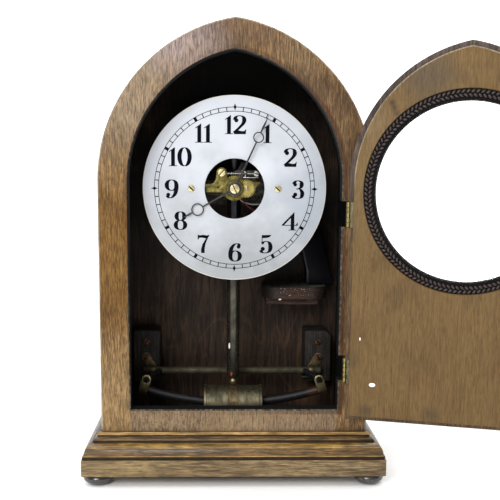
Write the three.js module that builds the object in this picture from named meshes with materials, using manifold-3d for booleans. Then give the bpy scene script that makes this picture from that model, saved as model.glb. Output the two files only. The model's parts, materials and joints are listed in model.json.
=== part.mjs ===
// Electric mantel clock: a lancet-arched oak case with its glazed door standing open, a silvered dial
// with an open centre, and a bobbin pendulum that swings over a curved bar magnet.
// Millimetres: X to the viewer's right, Y to the back, Z up, from the middle of the base's underside.
import * as THREE from 'three';
import { mergeVertices } from 'three/addons/utils/BufferGeometryUtils.js';
import Module from 'manifold-3d';

const wasm = await Module();
wasm.setup();

// Clearances, and how far joined solids run into each other or a cutter past a face
const seatGap = 0.3;
const runningGap = 0.3;
const bite = 1;

// Base: a plinth rim round a let-in floor panel, a moulding on three sides and four bun feet
const baseWidth = 260;
const baseDepth = 175;
const plinthHeight = 16.4;
const plinthRim = 30;
const floorThickness = 10;
const footRadius = 12.6;
const footPadRadius = 5.5;
const footHeight = 9.4;
const footInset = 13.3;
const mouldingProjection = 16;
const mouldingHeight = 17.6;

// Case: pointed arch whose arcs are struck from centres past the middle line
const archRise = 5.8;
const archOffset = 20.4;
const sideThickness = 9.5;
const frameThickness = 14;
const frameWidth = 25.3;
const railHeight = 38.2;
const backBoardThickness = 9;
const backRecess = 14;

// Door, drawn shut and then swung open
const doorOpenDegrees = 164;
const lipOverlap = 4;
const lipThickness = 6;
const fieldThickness = 8.3;
const fieldClearance = 1;
const doorStile = 7.7;
const beadWidth = 9;
const beadProud = 2.2;
const glassThickness = 2.5;
const glassSetback = 3;

// Hinges, with their knuckles at the door lip's outer front corner
const upperHingeDrop = 25.3;
const lowerHingeRise = 36.7;
const hingeHeight = 20.7;
const barrelRadius = 1.9;
const hingePinRadius = 0.8;
const leafThickness = 1.2;
const leafDepth = 16;
const knuckleCount = 5;
const barrelOffset = 0.7;

// Dial
const dialToOpening = 8.8;
const dialHoleRadius = 26.1;
const dialThickness = 1;
const dialSetback = 38.5;
const pillarX = 37.7;
const pillarTipRadius = 3.2;
const pillarStep = 0.9;
const dialScrewHeadRadius = 2.9;
const dialScrewLength = 5;

// Movement, from the dial backwards
const dialToWheel = 3;
const wheelThickness = 1;
const wheelSpacing = 1.5;
const plateThickness = 1.5;
const plateSpacing = 10.5;
const motionCentres = 10.5;
const addendum = 0.34;
const dedendum = 0.44;
const cannonOverlap = 0.4;
const cannonTeeth = 12;
const minuteWheelTeeth = 36;
const minutePinionTeeth = 10;
const hourWheelTeeth = 40;
const wormWheelTeeth = 40;
const wormWheelRadius = 11.2;
const wormRadius = 1.7;
const wormLeft = -7.6;
const wormLength = 9.1;
const wormArborRadius = 1;
const ratchetRadius = 2.9;
const ratchetTeeth = 16;
const ratchetDepth = 0.7;
const ratchetThickness = 0.8;
const ratchetX = 6.2;
const arborRadius = 1.5;
const arborProud = 1;
const pipeWall = 0.9;
const minuteHubRadius = 2.4;
const minuteHubProud = 0.6;
const wormWheelThickness = 1.5;
const lugX = -11.3;
const lugRise = 0.7;
const lugRadius = 4.6;
const earX = 19.4;
const earHalfWidth = 1.9;
const earHeight = 5.5;
const earReach = 4;
const bossWall = 2.1;
const plateHeel = 9;
const platePointX = 23.2;
const platePointZ = 5.6;
const oilHoleX = -14.3;
const oilHoleZ = 0.9;
const oilHoleRadius = 0.9;
const studRadius = 1.1;
const leverStudRadius = 1.5;
const plateScrewShank = 1.3;
const lugScrewRadius = 3.4;
const lugScrewHeight = 2;
const earScrewRadius = 2.5;
const earScrewHeight = 1.6;
const contactReach = 3.3;
const contactRise = 1.3;
const contactBallRadius = 2;
const bladeThickness = 0.6;

// Hands
const minuteHandToRim = 11.3;
const minuteTipLength = 20.2;
const minuteRingRadius = 4.7;
const minuteHandDegrees = 24.8;
const hourHandShort = 16.9;
const hourTipLength = 14.7;
const hourRingRadius = 5.5;
const hourHandDegrees = 240.5;
const handThickness = 0.8;
const handWidth = 2.4;
const handRingWall = 1.2;
const handGap = 1.6;
const hourHubWall = 1.6;
const colletRadius = 5.9;
const handScrewRadius = 4.1;
const handScrewHeight = 2;
const handScrewShank = 0.9;
const handScrewLength = 3.5;

// Bracket on the back board and the cock that holds the pendulum's spring
const bracketThickness = 3;
const bracketMargin = 8;
const bracketDrop = 18;
const cockWidth = 14;
const cockRise = 12;
const cockGusset = 16;
const cockNose = 2;

// Pendulum and its drive lever
const pivotRise = 69;
const pendulumLength = 270.4;
const springLength = 8;
const springThickness = 0.3;
const springWidth = 10;
const sleeveRadius = 6;
const sleeveLength = 107;
const rodRadius = 5.4;
const rodTaper = 4;
const stemRadius = 1.5;
const nutRadius = 3.3;
const leverThickness = 1.5;
const leverToRod = 4;
const leverPivotRise = 4;
const leverLength = 47.5;
const leverWidth = 4.6;
const drivePinRadius = 1.2;
const drivePinProud = 0.5;
const forkClearance = 0.6;
const forkReach = 4;
const forkProng = 1.8;
const leverArmX = 8.5;
const leverArmZ = 16.5;
const leverArmHalf = 3;
const pawlWire = 0.6;
const pawlLift = 1.5;
const pawlDrop = 2.4;
const bobbinToFloor = 7;
const bobbinRadius = 17.2;
const bobbinLength = 54.4;
const bobbinBore = 7.2;
const bobbinFlange = 2.6;
const flangeProud = 0.9;
const bobbinStrap = 9.4;

// Magnet, its clips, crossbar and blocks
const magnetRadius = 4.2;
const magnetHalfSpan = 87;
const magnetClipInset = 3;
const clipThickness = 1.2;
const magnetClipWidth = 8;
const tabHeight = 10.5;
const tabRadius = 4.4;
const clipScrewHeadRadius = 3;
const clipScrewHeadHeight = 1.8;
const clipScrewShank = 1.4;
const blockScrewLength = 8;
const magnetScrewLength = 4;
const crossbarRadius = 3.35;
const crossbarRise = 24.8;
const crossbarToSide = 18.7;
const crossbarClipWidth = 4.4;
const crossbarProud = 6.8;
const crossbarScrewInset = 2;
const crossbarScrewRise = 12.1;
const armRadius = 2.6;
const armPadWall = 0.9;
const armPadLength = 4.5;
const armInset = 16.3;
const blockPastBar = 10.2;
const blockWidth = 25.5;
const blockBelowBar = 12.4;
const blockHeight = 50.4;
const blockDepth = 30;
const blockChamfer = 4.6;
const blockEase = 2;
const blockScrewInset = 2.5;
const blockScrewDrop = 10.7;

// Battery and its shelf
const shelfToSide = 14.1;
const shelfWidth = 61.4;
const shelfAboveBlock = 27.1;
const shelfThickness = 12.5;
const shelfDepth = 42;
const shelfCornerRadius = 16;
const cleatInset = 4;
const cleatHeight = 5;
const cleatDepth = 36;
const batteryInset = 19.4;
const batteryWidth = 23;
const batteryDepth = 22;
const batteryToBoard = 6;
const batteryFootHeight = 13;
const batteryFootFlare = 4;
const batteryHeight = 46;
const batteryLeanDegrees = 13;
const leadRadius = 0.6;

// Places that follow from the sizes above
const bodyHalf = baseWidth / 2 - mouldingProjection;
const bodyFront = -baseDepth / 2 + mouldingProjection;
const bodyBack = baseDepth / 2;
const caseFoot = plinthHeight + seatGap;
const sideInner = bodyHalf - sideThickness;
const railTop = plinthHeight + railHeight;
const bobbinZ = plinthHeight + bobbinToFloor + bobbinRadius;
const pivotZ = bobbinZ + pendulumLength;
const dialCentreZ = pivotZ - pivotRise;
const archSpring = dialCentreZ + archRise;
const frameBack = bodyFront + frameThickness;
const openingHalf = bodyHalf - frameWidth;
const boardFront = bodyBack - backRecess - backBoardThickness;
const boardSeat = boardFront - seatGap;
const doorBack = bodyFront - seatGap;
const doorFront = doorBack - lipThickness;
const lipHalf = openingHalf + lipOverlap;
const fieldHalf = openingHalf - fieldClearance;
const sightRadius = fieldHalf - doorStile - beadWidth;
const hingeX = lipHalf + barrelOffset;
const hingeY = doorFront - barrelOffset;
const hingeHeights = { upper: archSpring - upperHingeDrop, lower: railTop + lowerHingeRise };
const dialRadius = openingHalf - dialToOpening;
const minuteHandLength = dialRadius - minuteHandToRim;
const hourHandLength = minuteHandLength - hourHandShort;
const dialFront = bodyFront + dialSetback;
const dialScrewHeadHeight = handGap - seatGap - runningGap;
const dialBack = dialFront + dialThickness;
const hourWheelFront = dialBack + dialToWheel;
const minuteWheelFront = hourWheelFront + wheelThickness + wheelSpacing;
const frontPlateFront = minuteWheelFront + wheelThickness + wheelSpacing;
const frontPlateBack = frontPlateFront + plateThickness;
const backPlateFront = frontPlateBack + plateSpacing;
const backPlateBack = backPlateFront + plateThickness;
const wormY = frontPlateBack + wormArborRadius + wheelSpacing + wormRadius;
const wormRise = wormWheelRadius + wormRadius;
const wormLead = 2 * Math.PI * wormWheelRadius / wormWheelTeeth;
const wormAddendum = 0.6 * wormLead / Math.PI;
const wormDedendum = 0.9 * wormLead / Math.PI;
const lugZ = wormRise + lugRise;
const wormZ = dialCentreZ + wormRise;
const leverFront = backPlateBack + wheelSpacing;
const leverBack = leverFront + leverThickness;
const pendulumY = leverBack + leverToRod + sleeveRadius;
const leverPivotZ = dialCentreZ + leverPivotRise;
const drivePinZ = leverPivotZ - leverLength;
const blockFront = boardSeat - blockDepth;
const crossbarClipBore = crossbarRadius + seatGap;
const crossbarY = blockFront - seatGap - crossbarClipBore - clipThickness;
const crossbarZ = bobbinZ + crossbarRise;
const crossbarHalf = sideInner - crossbarToSide;
const crossbarScrewX = crossbarHalf - crossbarScrewInset;
const armFootX = crossbarHalf - armInset;
const magnetClipAt = magnetHalfSpan - magnetClipInset;
const blockOuter = crossbarHalf + blockPastBar;
const blockInner = blockOuter - blockWidth;
const blockLow = crossbarZ - blockBelowBar;
const blockHigh = blockLow + blockHeight;
const blockScrewX = crossbarHalf - blockScrewInset;
const blockScrewZ = blockHigh - blockScrewDrop;
const shelfRight = sideInner - shelfToSide;
const shelfLeft = shelfRight - shelfWidth;
const shelfTop = blockHigh + shelfAboveBlock + cleatHeight + shelfThickness;
const batteryLeft = shelfRight - batteryInset;

// Facets
const archSteps = 9;
const roundSteps = 16;
const fineSteps = 48;
const smallSteps = 8;
const curveSteps = 5;
const dialSteps = 32;
const bobbinSteps = 24;
const wireSides = 3;
const magnetSteps = 20;
const magnetSides = 12;
const leadSteps = 24;
const quarterTurn = Math.PI / 2;
const radians = THREE.MathUtils.DEG2RAD;

function paint(color, roughness, metalness) {
  return new THREE.MeshStandardMaterial({ color, roughness, metalness });
}

const oak = paint(0x8c7050, 0.55, 0);
const palePanel = paint(0x816846, 0.65, 0);
const darkWood = paint(0x33281f, 0.7, 0);
const stainedFoot = paint(0x3a3636, 0.4, 0);
const brass = paint(0xb39a5a, 0.35, 1);
const dullBrass = paint(0x6b6348, 0.5, 1);
const darkSteel = paint(0x2a2a2c, 0.4, 1);
const brightSteel = paint(0xa8a8a8, 0.25, 1);
const blackEnamel = paint(0x171515, 0.45, 0);
const copper = paint(0x7a4a34, 0.45, 1);
const silvered = paint(0xc9ced3, 0.4, 0.2);
const darkBead = paint(0x3d332d, 0.6, 0);
const paleLead = paint(0x9a9a98, 0.6, 0);
const redLead = paint(0x6e1c1c, 0.6, 0);
const clearGlass = paint(0xdfe8e8, 0.05, 0);
clearGlass.transparent = true;
clearGlass.opacity = 0.2;

// Turns a geometry into a welded solid whose faces point outwards
function solid(geometry) {
  const bare = new THREE.BufferGeometry();
  bare.setAttribute('position', geometry.getAttribute('position').clone());
  if (geometry.index) bare.setIndex(geometry.index.clone());
  const welded = mergeVertices(bare, 1e-4);
  const corners = welded.getAttribute('position').array;
  const corner = (i) => new THREE.Vector3().fromArray(corners, 3 * i);
  const triangles = [];
  let volume = 0;
  for (let i = 0; i < welded.index.count; i += 3) {
    const [a, b, c] = welded.index.array.slice(i, i + 3);
    if (a === b || b === c || c === a) continue;
    triangles.push(a, b, c);
    volume += corner(a).dot(corner(b).cross(corner(c)));
  }
  if (volume < 0) triangles.reverse();
  const triVerts = new Uint32Array(triangles);
  return new wasm.Manifold(new wasm.Mesh({ numProp: 3, vertProperties: corners, triVerts }));
}

function geometryOf(manifold) {
  const mesh = manifold.getMesh();
  const geometry = new THREE.BufferGeometry();
  geometry.setAttribute('position', new THREE.BufferAttribute(mesh.vertProperties, 3));
  geometry.setIndex(new THREE.BufferAttribute(mesh.triVerts, 1));
  geometry.computeVertexNormals();
  return geometry;
}

function join(...geometries) {
  return geometryOf(geometries.map(solid).reduce((whole, next) => whole.add(next)));
}

function cut(geometry, ...tools) {
  return geometryOf(tools.map(solid).reduce((rest, tool) => rest.subtract(tool), solid(geometry)));
}

// An outline in X and Z, as seen from the front, given a depth
function slab(shape, yFront, yBack, curveSegments = curveSteps) {
  const settings = { depth: yBack - yFront, bevelEnabled: false, curveSegments };
  return new THREE.ExtrudeGeometry(shape, settings).rotateX(quarterTurn).translate(0, yBack, 0);
}

// An outline in X and Y, as seen from above, given a height
function tile(shape, zLow, zHigh, curveSegments = curveSteps) {
  const settings = { depth: zHigh - zLow, bevelEnabled: false, curveSegments };
  return new THREE.ExtrudeGeometry(shape, settings).translate(0, 0, zLow);
}

// An outline in Y and Z, as seen from the side, given a length along X
function strip(shape, xLow, xHigh, curveSegments = curveSteps) {
  const settings = { depth: xHigh - xLow, bevelEnabled: false, curveSegments };
  const turn = new THREE.Matrix4().set(0, 0, 1, xLow, 1, 0, 0, 0, 0, 1, 0, 0, 0, 0, 0, 1);
  return new THREE.ExtrudeGeometry(shape, settings).applyMatrix4(turn);
}

function box(xLow, xHigh, yLow, yHigh, zLow, zHigh) {
  const geometry = new THREE.BoxGeometry(xHigh - xLow, yHigh - yLow, zHigh - zLow);
  return geometry.translate((xLow + xHigh) / 2, (yLow + yHigh) / 2, (zLow + zHigh) / 2);
}

// A profile of [radius, distance] pairs turned about an axis through the origin
function turned(profile, axis, steps = roundSteps) {
  const geometry = new THREE.LatheGeometry(profile.map(([r, d]) => new THREE.Vector2(r, d)), steps);
  if (axis === 'z') geometry.rotateX(quarterTurn);
  if (axis === 'x') geometry.rotateZ(-quarterTurn);
  return geometry;
}

function disc(radius, low, high, axis, steps = roundSteps) {
  return turned([[0, low], [radius, low], [radius, high], [0, high]], axis, steps);
}

function ring(inner, outer, low, high, axis, steps = roundSteps) {
  return turned([[inner, low], [outer, low], [outer, high], [inner, high], [inner, low]], axis, steps);
}

function polygon(points) {
  return new THREE.Shape(points.map(([a, b]) => new THREE.Vector2(a, b)));
}

function circle(x, y, radius) {
  return new THREE.Shape().absarc(x, y, radius, 0, 2 * Math.PI, false);
}

// Two round ends joined by their common tangents
function capsule(x0, z0, x1, z1, radius) {
  const heading = Math.atan2(z1 - z0, x1 - x0);
  const shape = new THREE.Shape();
  shape.absarc(x1, z1, radius, heading - quarterTurn, heading + quarterTurn, false);
  shape.absarc(x0, z0, radius, heading + quarterTurn, heading + 3 * quarterTurn, false);
  return shape;
}

function wire(points, radius, steps) {
  const path = new THREE.CatmullRomCurve3(points.map((p) => new THREE.Vector3(...p)));
  const section = new THREE.Shape().absarc(0, 0, radius, 0, 2 * Math.PI, false);
  return new THREE.ExtrudeGeometry(section, { steps, extrudePath: path, curveSegments: wireSides });
}

function straightRod(from, to, radius) {
  const path = new THREE.LineCurve3(new THREE.Vector3(...from), new THREE.Vector3(...to));
  const section = new THREE.Shape().absarc(0, 0, radius, 0, 2 * Math.PI, false);
  return new THREE.ExtrudeGeometry(section, { steps: 1, extrudePath: path, curveSegments: curveSteps });
}

// Rings of points joined in turn and closed at both ends
function loft(rings) {
  const count = rings[0].length;
  const index = [];
  for (let k = 0; k + 1 < rings.length; k += 1) {
    for (let i = 0; i < count; i += 1) {
      const a = k * count + i;
      const b = k * count + (i + 1) % count;
      index.push(a, b, b + count, a, b + count, a + count);
    }
  }
  const last = (rings.length - 1) * count;
  for (let i = 1; i + 1 < count; i += 1) {
    index.push(0, i + 1, i, last, last + i, last + i + 1);
  }
  const geometry = new THREE.BufferGeometry().setFromPoints(rings.flat());
  geometry.setIndex(index);
  return geometry;
}

// Moves every corner of a geometry by a rule
function reshape(geometry, rule) {
  const position = geometry.getAttribute('position');
  for (let i = 0; i < position.count; i += 1) {
    position.setXYZ(i, ...rule(position.getX(i), position.getY(i), position.getZ(i)));
  }
  return geometry;
}

function mirrored(geometry) {
  return geometry.clone().scale(-1, 1, 1);
}

// A slotted screw along Y with the seat of its domed head at y = 0
function slottedScrew(headRadius, headHeight, shankRadius, shankLength, slotDegrees) {
  const body = turned([
    [0, -headHeight],
    [headRadius * 0.7, -headHeight * 0.85],
    [headRadius, -headHeight * 0.35],
    [headRadius, 0],
    [shankRadius, 0],
    [shankRadius, shankLength],
    [0, shankLength],
  ], 'y', smallSteps);
  const slotHalf = headRadius * 0.14;
  const slotFloor = -headHeight * 0.5;
  const slot = box(-2 * headRadius, 2 * headRadius, -2 * headHeight, slotFloor, -slotHalf, slotHalf);
  return cut(body, slot.rotateY(-slotDegrees * radians));
}

// Pointed clock-wheel teeth round a bore; a tooth stands at the phase angle
function gear({ teeth, radius, addendum, dedendum, phase = 0, bore }) {
  const pitch = 2 * Math.PI / teeth;
  const rootHalf = 0.34 * pitch;
  const corners = [];
  for (let i = 0; i < teeth; i += 1) {
    const middle = phase + i * pitch;
    corners.push([radius - dedendum, middle - rootHalf]);
    corners.push([radius + addendum, middle]);
    corners.push([radius - dedendum, middle + rootHalf]);
  }
  const shape = polygon(corners.map(([r, a]) => [r * Math.cos(a), r * Math.sin(a)]));
  if (bore) shape.holes.push(circle(0, 0, bore));
  return shape;
}

const clock = new THREE.Group();
clock.name = 'electric_mantel_clock';
const door = new THREE.Group();
door.position.set(hingeX, hingeY, 0);
door.rotation.z = doorOpenDegrees * radians;
clock.add(door);

function piece(name, geometry, material, parent = clock) {
  const mesh = new THREE.Mesh(geometryOf(solid(geometry)), material);
  mesh.name = name;
  parent.add(mesh);
  return mesh;
}

function doorPiece(name, geometry, material) {
  return piece(name, geometry.translate(-hingeX, -hingeY, 0), material, door);
}

// Pointed arch outline standing on a level foot
function lancet(halfWidth, foot) {
  const radius = halfWidth + archOffset;
  const apexAngle = Math.acos(archOffset / radius);
  const shape = new THREE.Shape();
  shape.moveTo(-halfWidth, foot);
  shape.lineTo(halfWidth, foot);
  shape.absarc(-archOffset, archSpring, radius, 0, apexAngle, false);
  shape.absarc(archOffset, archSpring, radius, Math.PI - apexAngle, Math.PI, false);
  return shape;
}

function makeBase() {
  const halfWidth = baseWidth / 2;
  const halfDepth = baseDepth / 2;
  const rectangle = (a, b) => polygon([[-a, -b], [a, -b], [a, b], [-a, b]]);
  const rim = rectangle(halfWidth, halfDepth);
  rim.holes.push(rectangle(halfWidth - plinthRim, halfDepth - plinthRim));
  piece('plinth_rim', tile(rim, 0, plinthHeight), oak);
  const panel = rectangle(halfWidth - plinthRim - seatGap, halfDepth - plinthRim - seatGap);
  piece('floor_panel', tile(panel, 0, floorThickness), darkWood);

  const padAngle = Math.acos(footPadRadius / footRadius);
  const domeDepth = (footHeight - seatGap) / Math.sin(padAngle);
  const dome = Array.from({ length: curveSteps }, (_, k) => {
    const angle = padAngle * (1 - k / (curveSteps - 1));
    return [footRadius * Math.cos(angle), -seatGap - domeDepth * Math.sin(angle)];
  });
  const footProfile = [[0, -footHeight], ...dome, [0, -seatGap]];
  for (const [depthName, ySide] of [['front', -1], ['rear', 1]]) {
    for (const [sideName, xSide] of [['left', -1], ['right', 1]]) {
      const foot = turned(footProfile, 'z');
      foot.translate(xSide * (halfWidth - footInset), ySide * (halfDepth - footInset), 0);
      piece(`foot_${depthName}_${sideName}`, foot, stainedFoot);
    }
  }
}

// Moulding section as [projection, height]: fillet, ovolo, step, cove and top fillet
function mouldingSection() {
  const p = mouldingProjection;
  const h = mouldingHeight;
  const shape = new THREE.Shape();
  shape.moveTo(seatGap, seatGap);
  shape.lineTo(0.93 * p, seatGap);
  shape.lineTo(0.93 * p, 0.14 * h);
  shape.lineTo(0.86 * p, 0.14 * h);
  shape.quadraticCurveTo(0.86 * p, 0.5 * h, 0.44 * p, 0.56 * h);
  shape.lineTo(0.38 * p, 0.56 * h);
  shape.lineTo(0.38 * p, 0.64 * h);
  shape.quadraticCurveTo(0.18 * p, 0.66 * h, 0.15 * p, 0.83 * h);
  shape.lineTo(0.2 * p, 0.83 * h);
  shape.lineTo(0.2 * p, h);
  shape.lineTo(seatGap, h);
  return shape;
}

// Moulding runs are mitred: their ends move out by the section's projection
function makeMouldings() {
  const section = () => new THREE.ExtrudeGeometry(
    mouldingSection(),
    { depth: 1, bevelEnabled: false, curveSegments: curveSteps },
  );
  const mitreGap = seatGap / 2;
  const front = reshape(section(), (d, h, t) => [
    (2 * t - 1) * (bodyHalf + d - mitreGap),
    bodyFront - d,
    plinthHeight + h,
  ]);
  piece('base_moulding_front', front, oak);
  const right = reshape(section(), (d, h, t) => [
    bodyHalf + d,
    t * bodyBack + (1 - t) * (bodyFront - d + mitreGap),
    plinthHeight + h,
  ]);
  piece('base_moulding_right', right, oak);
  piece('base_moulding_left', mirrored(right), oak);
}

function makeCase() {
  const frame = lancet(bodyHalf, caseFoot);
  frame.holes.push(lancet(openingHalf, railTop));
  const notches = Object.values(hingeHeights).map((z) => box(
    openingHalf - seatGap,
    hingeX + leafThickness + seatGap,
    bodyFront - seatGap,
    frameBack + seatGap,
    z - hingeHeight / 2 - seatGap,
    z + hingeHeight / 2 + seatGap,
  ));
  piece('case_front_frame', cut(slab(frame, bodyFront, frameBack, archSteps), ...notches), oak);

  const outer = bodyHalf + archOffset;
  const inner = outer - sideThickness;
  const apexGap = seatGap / 2;
  const endOf = (radius) => Math.acos((archOffset + apexGap) / radius);
  const band = new THREE.Shape();
  band.moveTo(bodyHalf - sideThickness, caseFoot);
  band.lineTo(bodyHalf, caseFoot);
  band.absarc(-archOffset, archSpring, outer, 0, endOf(outer), false);
  band.absarc(-archOffset, archSpring, inner, endOf(inner), 0, true);
  const side = slab(band, frameBack + seatGap, bodyBack, archSteps);
  piece('case_right_side', side, oak);
  piece('case_left_side', mirrored(side), oak);

  const board = lancet(bodyHalf - sideThickness - seatGap, caseFoot);
  piece('back_board', slab(board, boardFront, boardFront + backBoardThickness, archSteps), darkWood);
}

// Lipped door: a lip that laps the frame, a raised field that enters the opening and a rebated round light
function makeDoor() {
  const rebateRadius = sightRadius + beadWidth;
  const fieldBack = doorBack + fieldThickness;
  const glassFront = doorFront + glassSetback;
  const lip = slab(lancet(lipHalf, railTop - lipOverlap), doorFront, doorBack, archSteps);
  const field = slab(lancet(fieldHalf, railTop + fieldClearance), doorBack - bite, fieldBack, archSteps);
  const light = disc(sightRadius, doorFront - bite, fieldBack + bite, 'y', fineSteps);
  const rebate = disc(rebateRadius, glassFront, fieldBack + bite, 'y', fineSteps);
  const rounds = [light, rebate].map((round) => round.translate(0, 0, dialCentreZ));
  const recesses = Object.values(hingeHeights).flatMap((z) => {
    const low = z - hingeHeight / 2 - seatGap;
    const high = z + hingeHeight / 2 + seatGap;
    const leafFront = doorBack - leafThickness - seatGap;
    const barrelSide = hingeX - barrelRadius - leafThickness - 2 * seatGap;
    return [
      box(barrelSide, lipHalf + bite, doorFront - bite, doorBack + seatGap, low, high),
      box(fieldHalf, lipHalf + bite, leafFront, doorBack + seatGap, low, high),
    ];
  });
  doorPiece('door_panel', cut(join(lip, field), ...rounds, ...recesses), palePanel);

  const pane = disc(rebateRadius - seatGap, 0, glassThickness, 'y', fineSteps);
  doorPiece('door_glass', pane.translate(0, glassFront + seatGap, dialCentreZ), clearGlass);

  const beadFront = glassFront + glassThickness + 2 * seatGap;
  const beadTop = fieldBack + beadProud;
  const inside = sightRadius + seatGap;
  const outside = rebateRadius - seatGap;
  const middle = (inside + outside) / 2;
  const haunch = fieldBack + beadProud * 0.7;
  const bead = turned([
    [inside, beadFront],
    [outside, beadFront],
    [outside, fieldBack],
    [(outside + middle) / 2, haunch],
    [middle, beadTop],
    [(inside + middle) / 2, haunch],
    [inside, fieldBack],
    [inside, beadFront],
  ], 'y', fineSteps);
  doorPiece('glass_bead', bead.translate(0, 0, dialCentreZ), darkBead);
}

// Butt hinges: the frame leaf carries the outer and middle knuckles and the pin, the door leaf the others
function makeHinges() {
  const knuckle = hingeHeight / knuckleCount;
  const boreRadius = hingePinRadius + runningGap;
  for (const [name, z] of Object.entries(hingeHeights)) {
    const low = z - hingeHeight / 2;
    const high = z + hingeHeight / 2;
    const onAxis = (radius, a, b) => disc(radius, a, b, 'z', smallSteps).translate(hingeX, hingeY, 0);
    const spans = Array.from({ length: knuckleCount }, (_, k) => [
      low + k * knuckle + runningGap / 2,
      low + (k + 1) * knuckle - runningGap / 2,
    ]);
    const framePlateFront = hingeY + barrelRadius + runningGap;
    const frameLeaf = [box(hingeX, hingeX + leafThickness, framePlateFront, hingeY + leafDepth, low, high)];
    frameLeaf.push(onAxis(hingePinRadius, low, high));
    spans.filter((_, k) => k % 2 === 0).forEach(([a, b]) => {
      frameLeaf.push(onAxis(barrelRadius, a, b));
      frameLeaf.push(box(hingeX, hingeX + leafThickness, hingeY, framePlateFront + bite, a, b));
    });
    piece(`hinge_frame_leaf_${name}`, join(...frameLeaf), brass);

    const plateFront = doorBack - leafThickness;
    const plateRight = hingeX - barrelRadius - runningGap;
    const plateLeft = fieldHalf + seatGap;
    const doorLeaf = [box(plateLeft, plateRight, plateFront, doorBack, low, high)];
    spans.filter((_, k) => k % 2 === 1).forEach(([a, b]) => {
      const web = polygon([
        [plateRight - leafThickness, doorBack],
        [plateRight - leafThickness, plateFront],
        [hingeX - leafThickness, hingeY],
        [hingeX, hingeY + leafThickness],
        [plateRight, doorBack],
      ]);
      const knuckleBlank = join(tile(web, a, b), onAxis(barrelRadius, a, b));
      doorLeaf.push(cut(knuckleBlank, onAxis(boreRadius, a - bite, b + bite)));
    });
    doorPiece(`hinge_door_leaf_${name}`, join(...doorLeaf), brass);
  }
}

// Bracket plate on the back board with two stepped pillars that carry the plates and the dial
function makeMovementFrame() {
  const plateHalf = pillarX + bracketMargin;
  const bracketLow = dialCentreZ - bracketDrop;
  const bracketHigh = pivotZ + cockRise + bracketMargin / 4;
  const bracketFront = boardSeat - bracketThickness;
  const frontRadius = pillarTipRadius;
  const middleRadius = frontRadius + pillarStep;
  const rootRadius = middleRadius + pillarStep;
  const frontShoulder = frontPlateBack + seatGap;
  const backShoulder = backPlateBack + seatGap;
  const tip = dialBack + seatGap;
  const pillar = turned([
    [0, tip],
    [frontRadius, tip],
    [frontRadius, frontShoulder],
    [middleRadius, frontShoulder],
    [middleRadius, backShoulder],
    [rootRadius, backShoulder],
    [rootRadius, bracketFront + bite],
    [0, bracketFront + bite],
  ], 'y', roundSteps);
  const shankRadius = dialScrewHeadRadius * 0.45;
  const holeEnd = dialFront + dialScrewLength + seatGap;
  const screwHole = disc(shankRadius + seatGap, dialFront - bite, holeEnd, 'y', smallSteps);
  const bracket = join(
    box(-plateHalf, plateHalf, bracketFront, boardSeat, bracketLow, bracketHigh),
    pillar.clone().translate(-pillarX, 0, dialCentreZ),
    pillar.clone().translate(pillarX, 0, dialCentreZ),
  );
  const holes = [-pillarX, pillarX].map((x) => screwHole.clone().translate(x, 0, dialCentreZ));
  piece('movement_bracket', cut(bracket, ...holes), dullBrass);

  const dialShape = circle(0, 0, dialRadius);
  dialShape.holes.push(circle(0, 0, dialHoleRadius));
  const dial = slab(dialShape, dialFront, dialBack, dialSteps).translate(0, 0, dialCentreZ);
  piece('dial_plate', cut(dial, ...holes), silvered);
  for (const [name, x] of [['left', -pillarX], ['right', pillarX]]) {
    const screw = slottedScrew(dialScrewHeadRadius, dialScrewHeadHeight, shankRadius, dialScrewLength, 45);
    piece(`dial_screw_${name}`, screw.translate(x, dialFront - seatGap, dialCentreZ), brass);
  }

  const cockLow = pivotZ + seatGap;
  const cockBack = bracketFront - seatGap;
  const armFront = pendulumY - springWidth / 2 - cockNose;
  const cockSide = polygon([
    [armFront, cockLow],
    [cockBack - cockGusset, cockLow],
    [cockBack, cockLow - cockGusset],
    [cockBack, pivotZ + cockRise],
    [cockBack - cockGusset / 2, pivotZ + cockRise],
    [armFront, pivotZ + 0.65 * cockRise],
  ]);
  piece('suspension_cock', strip(cockSide, -cockWidth / 2, cockWidth / 2), dullBrass);
}

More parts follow.
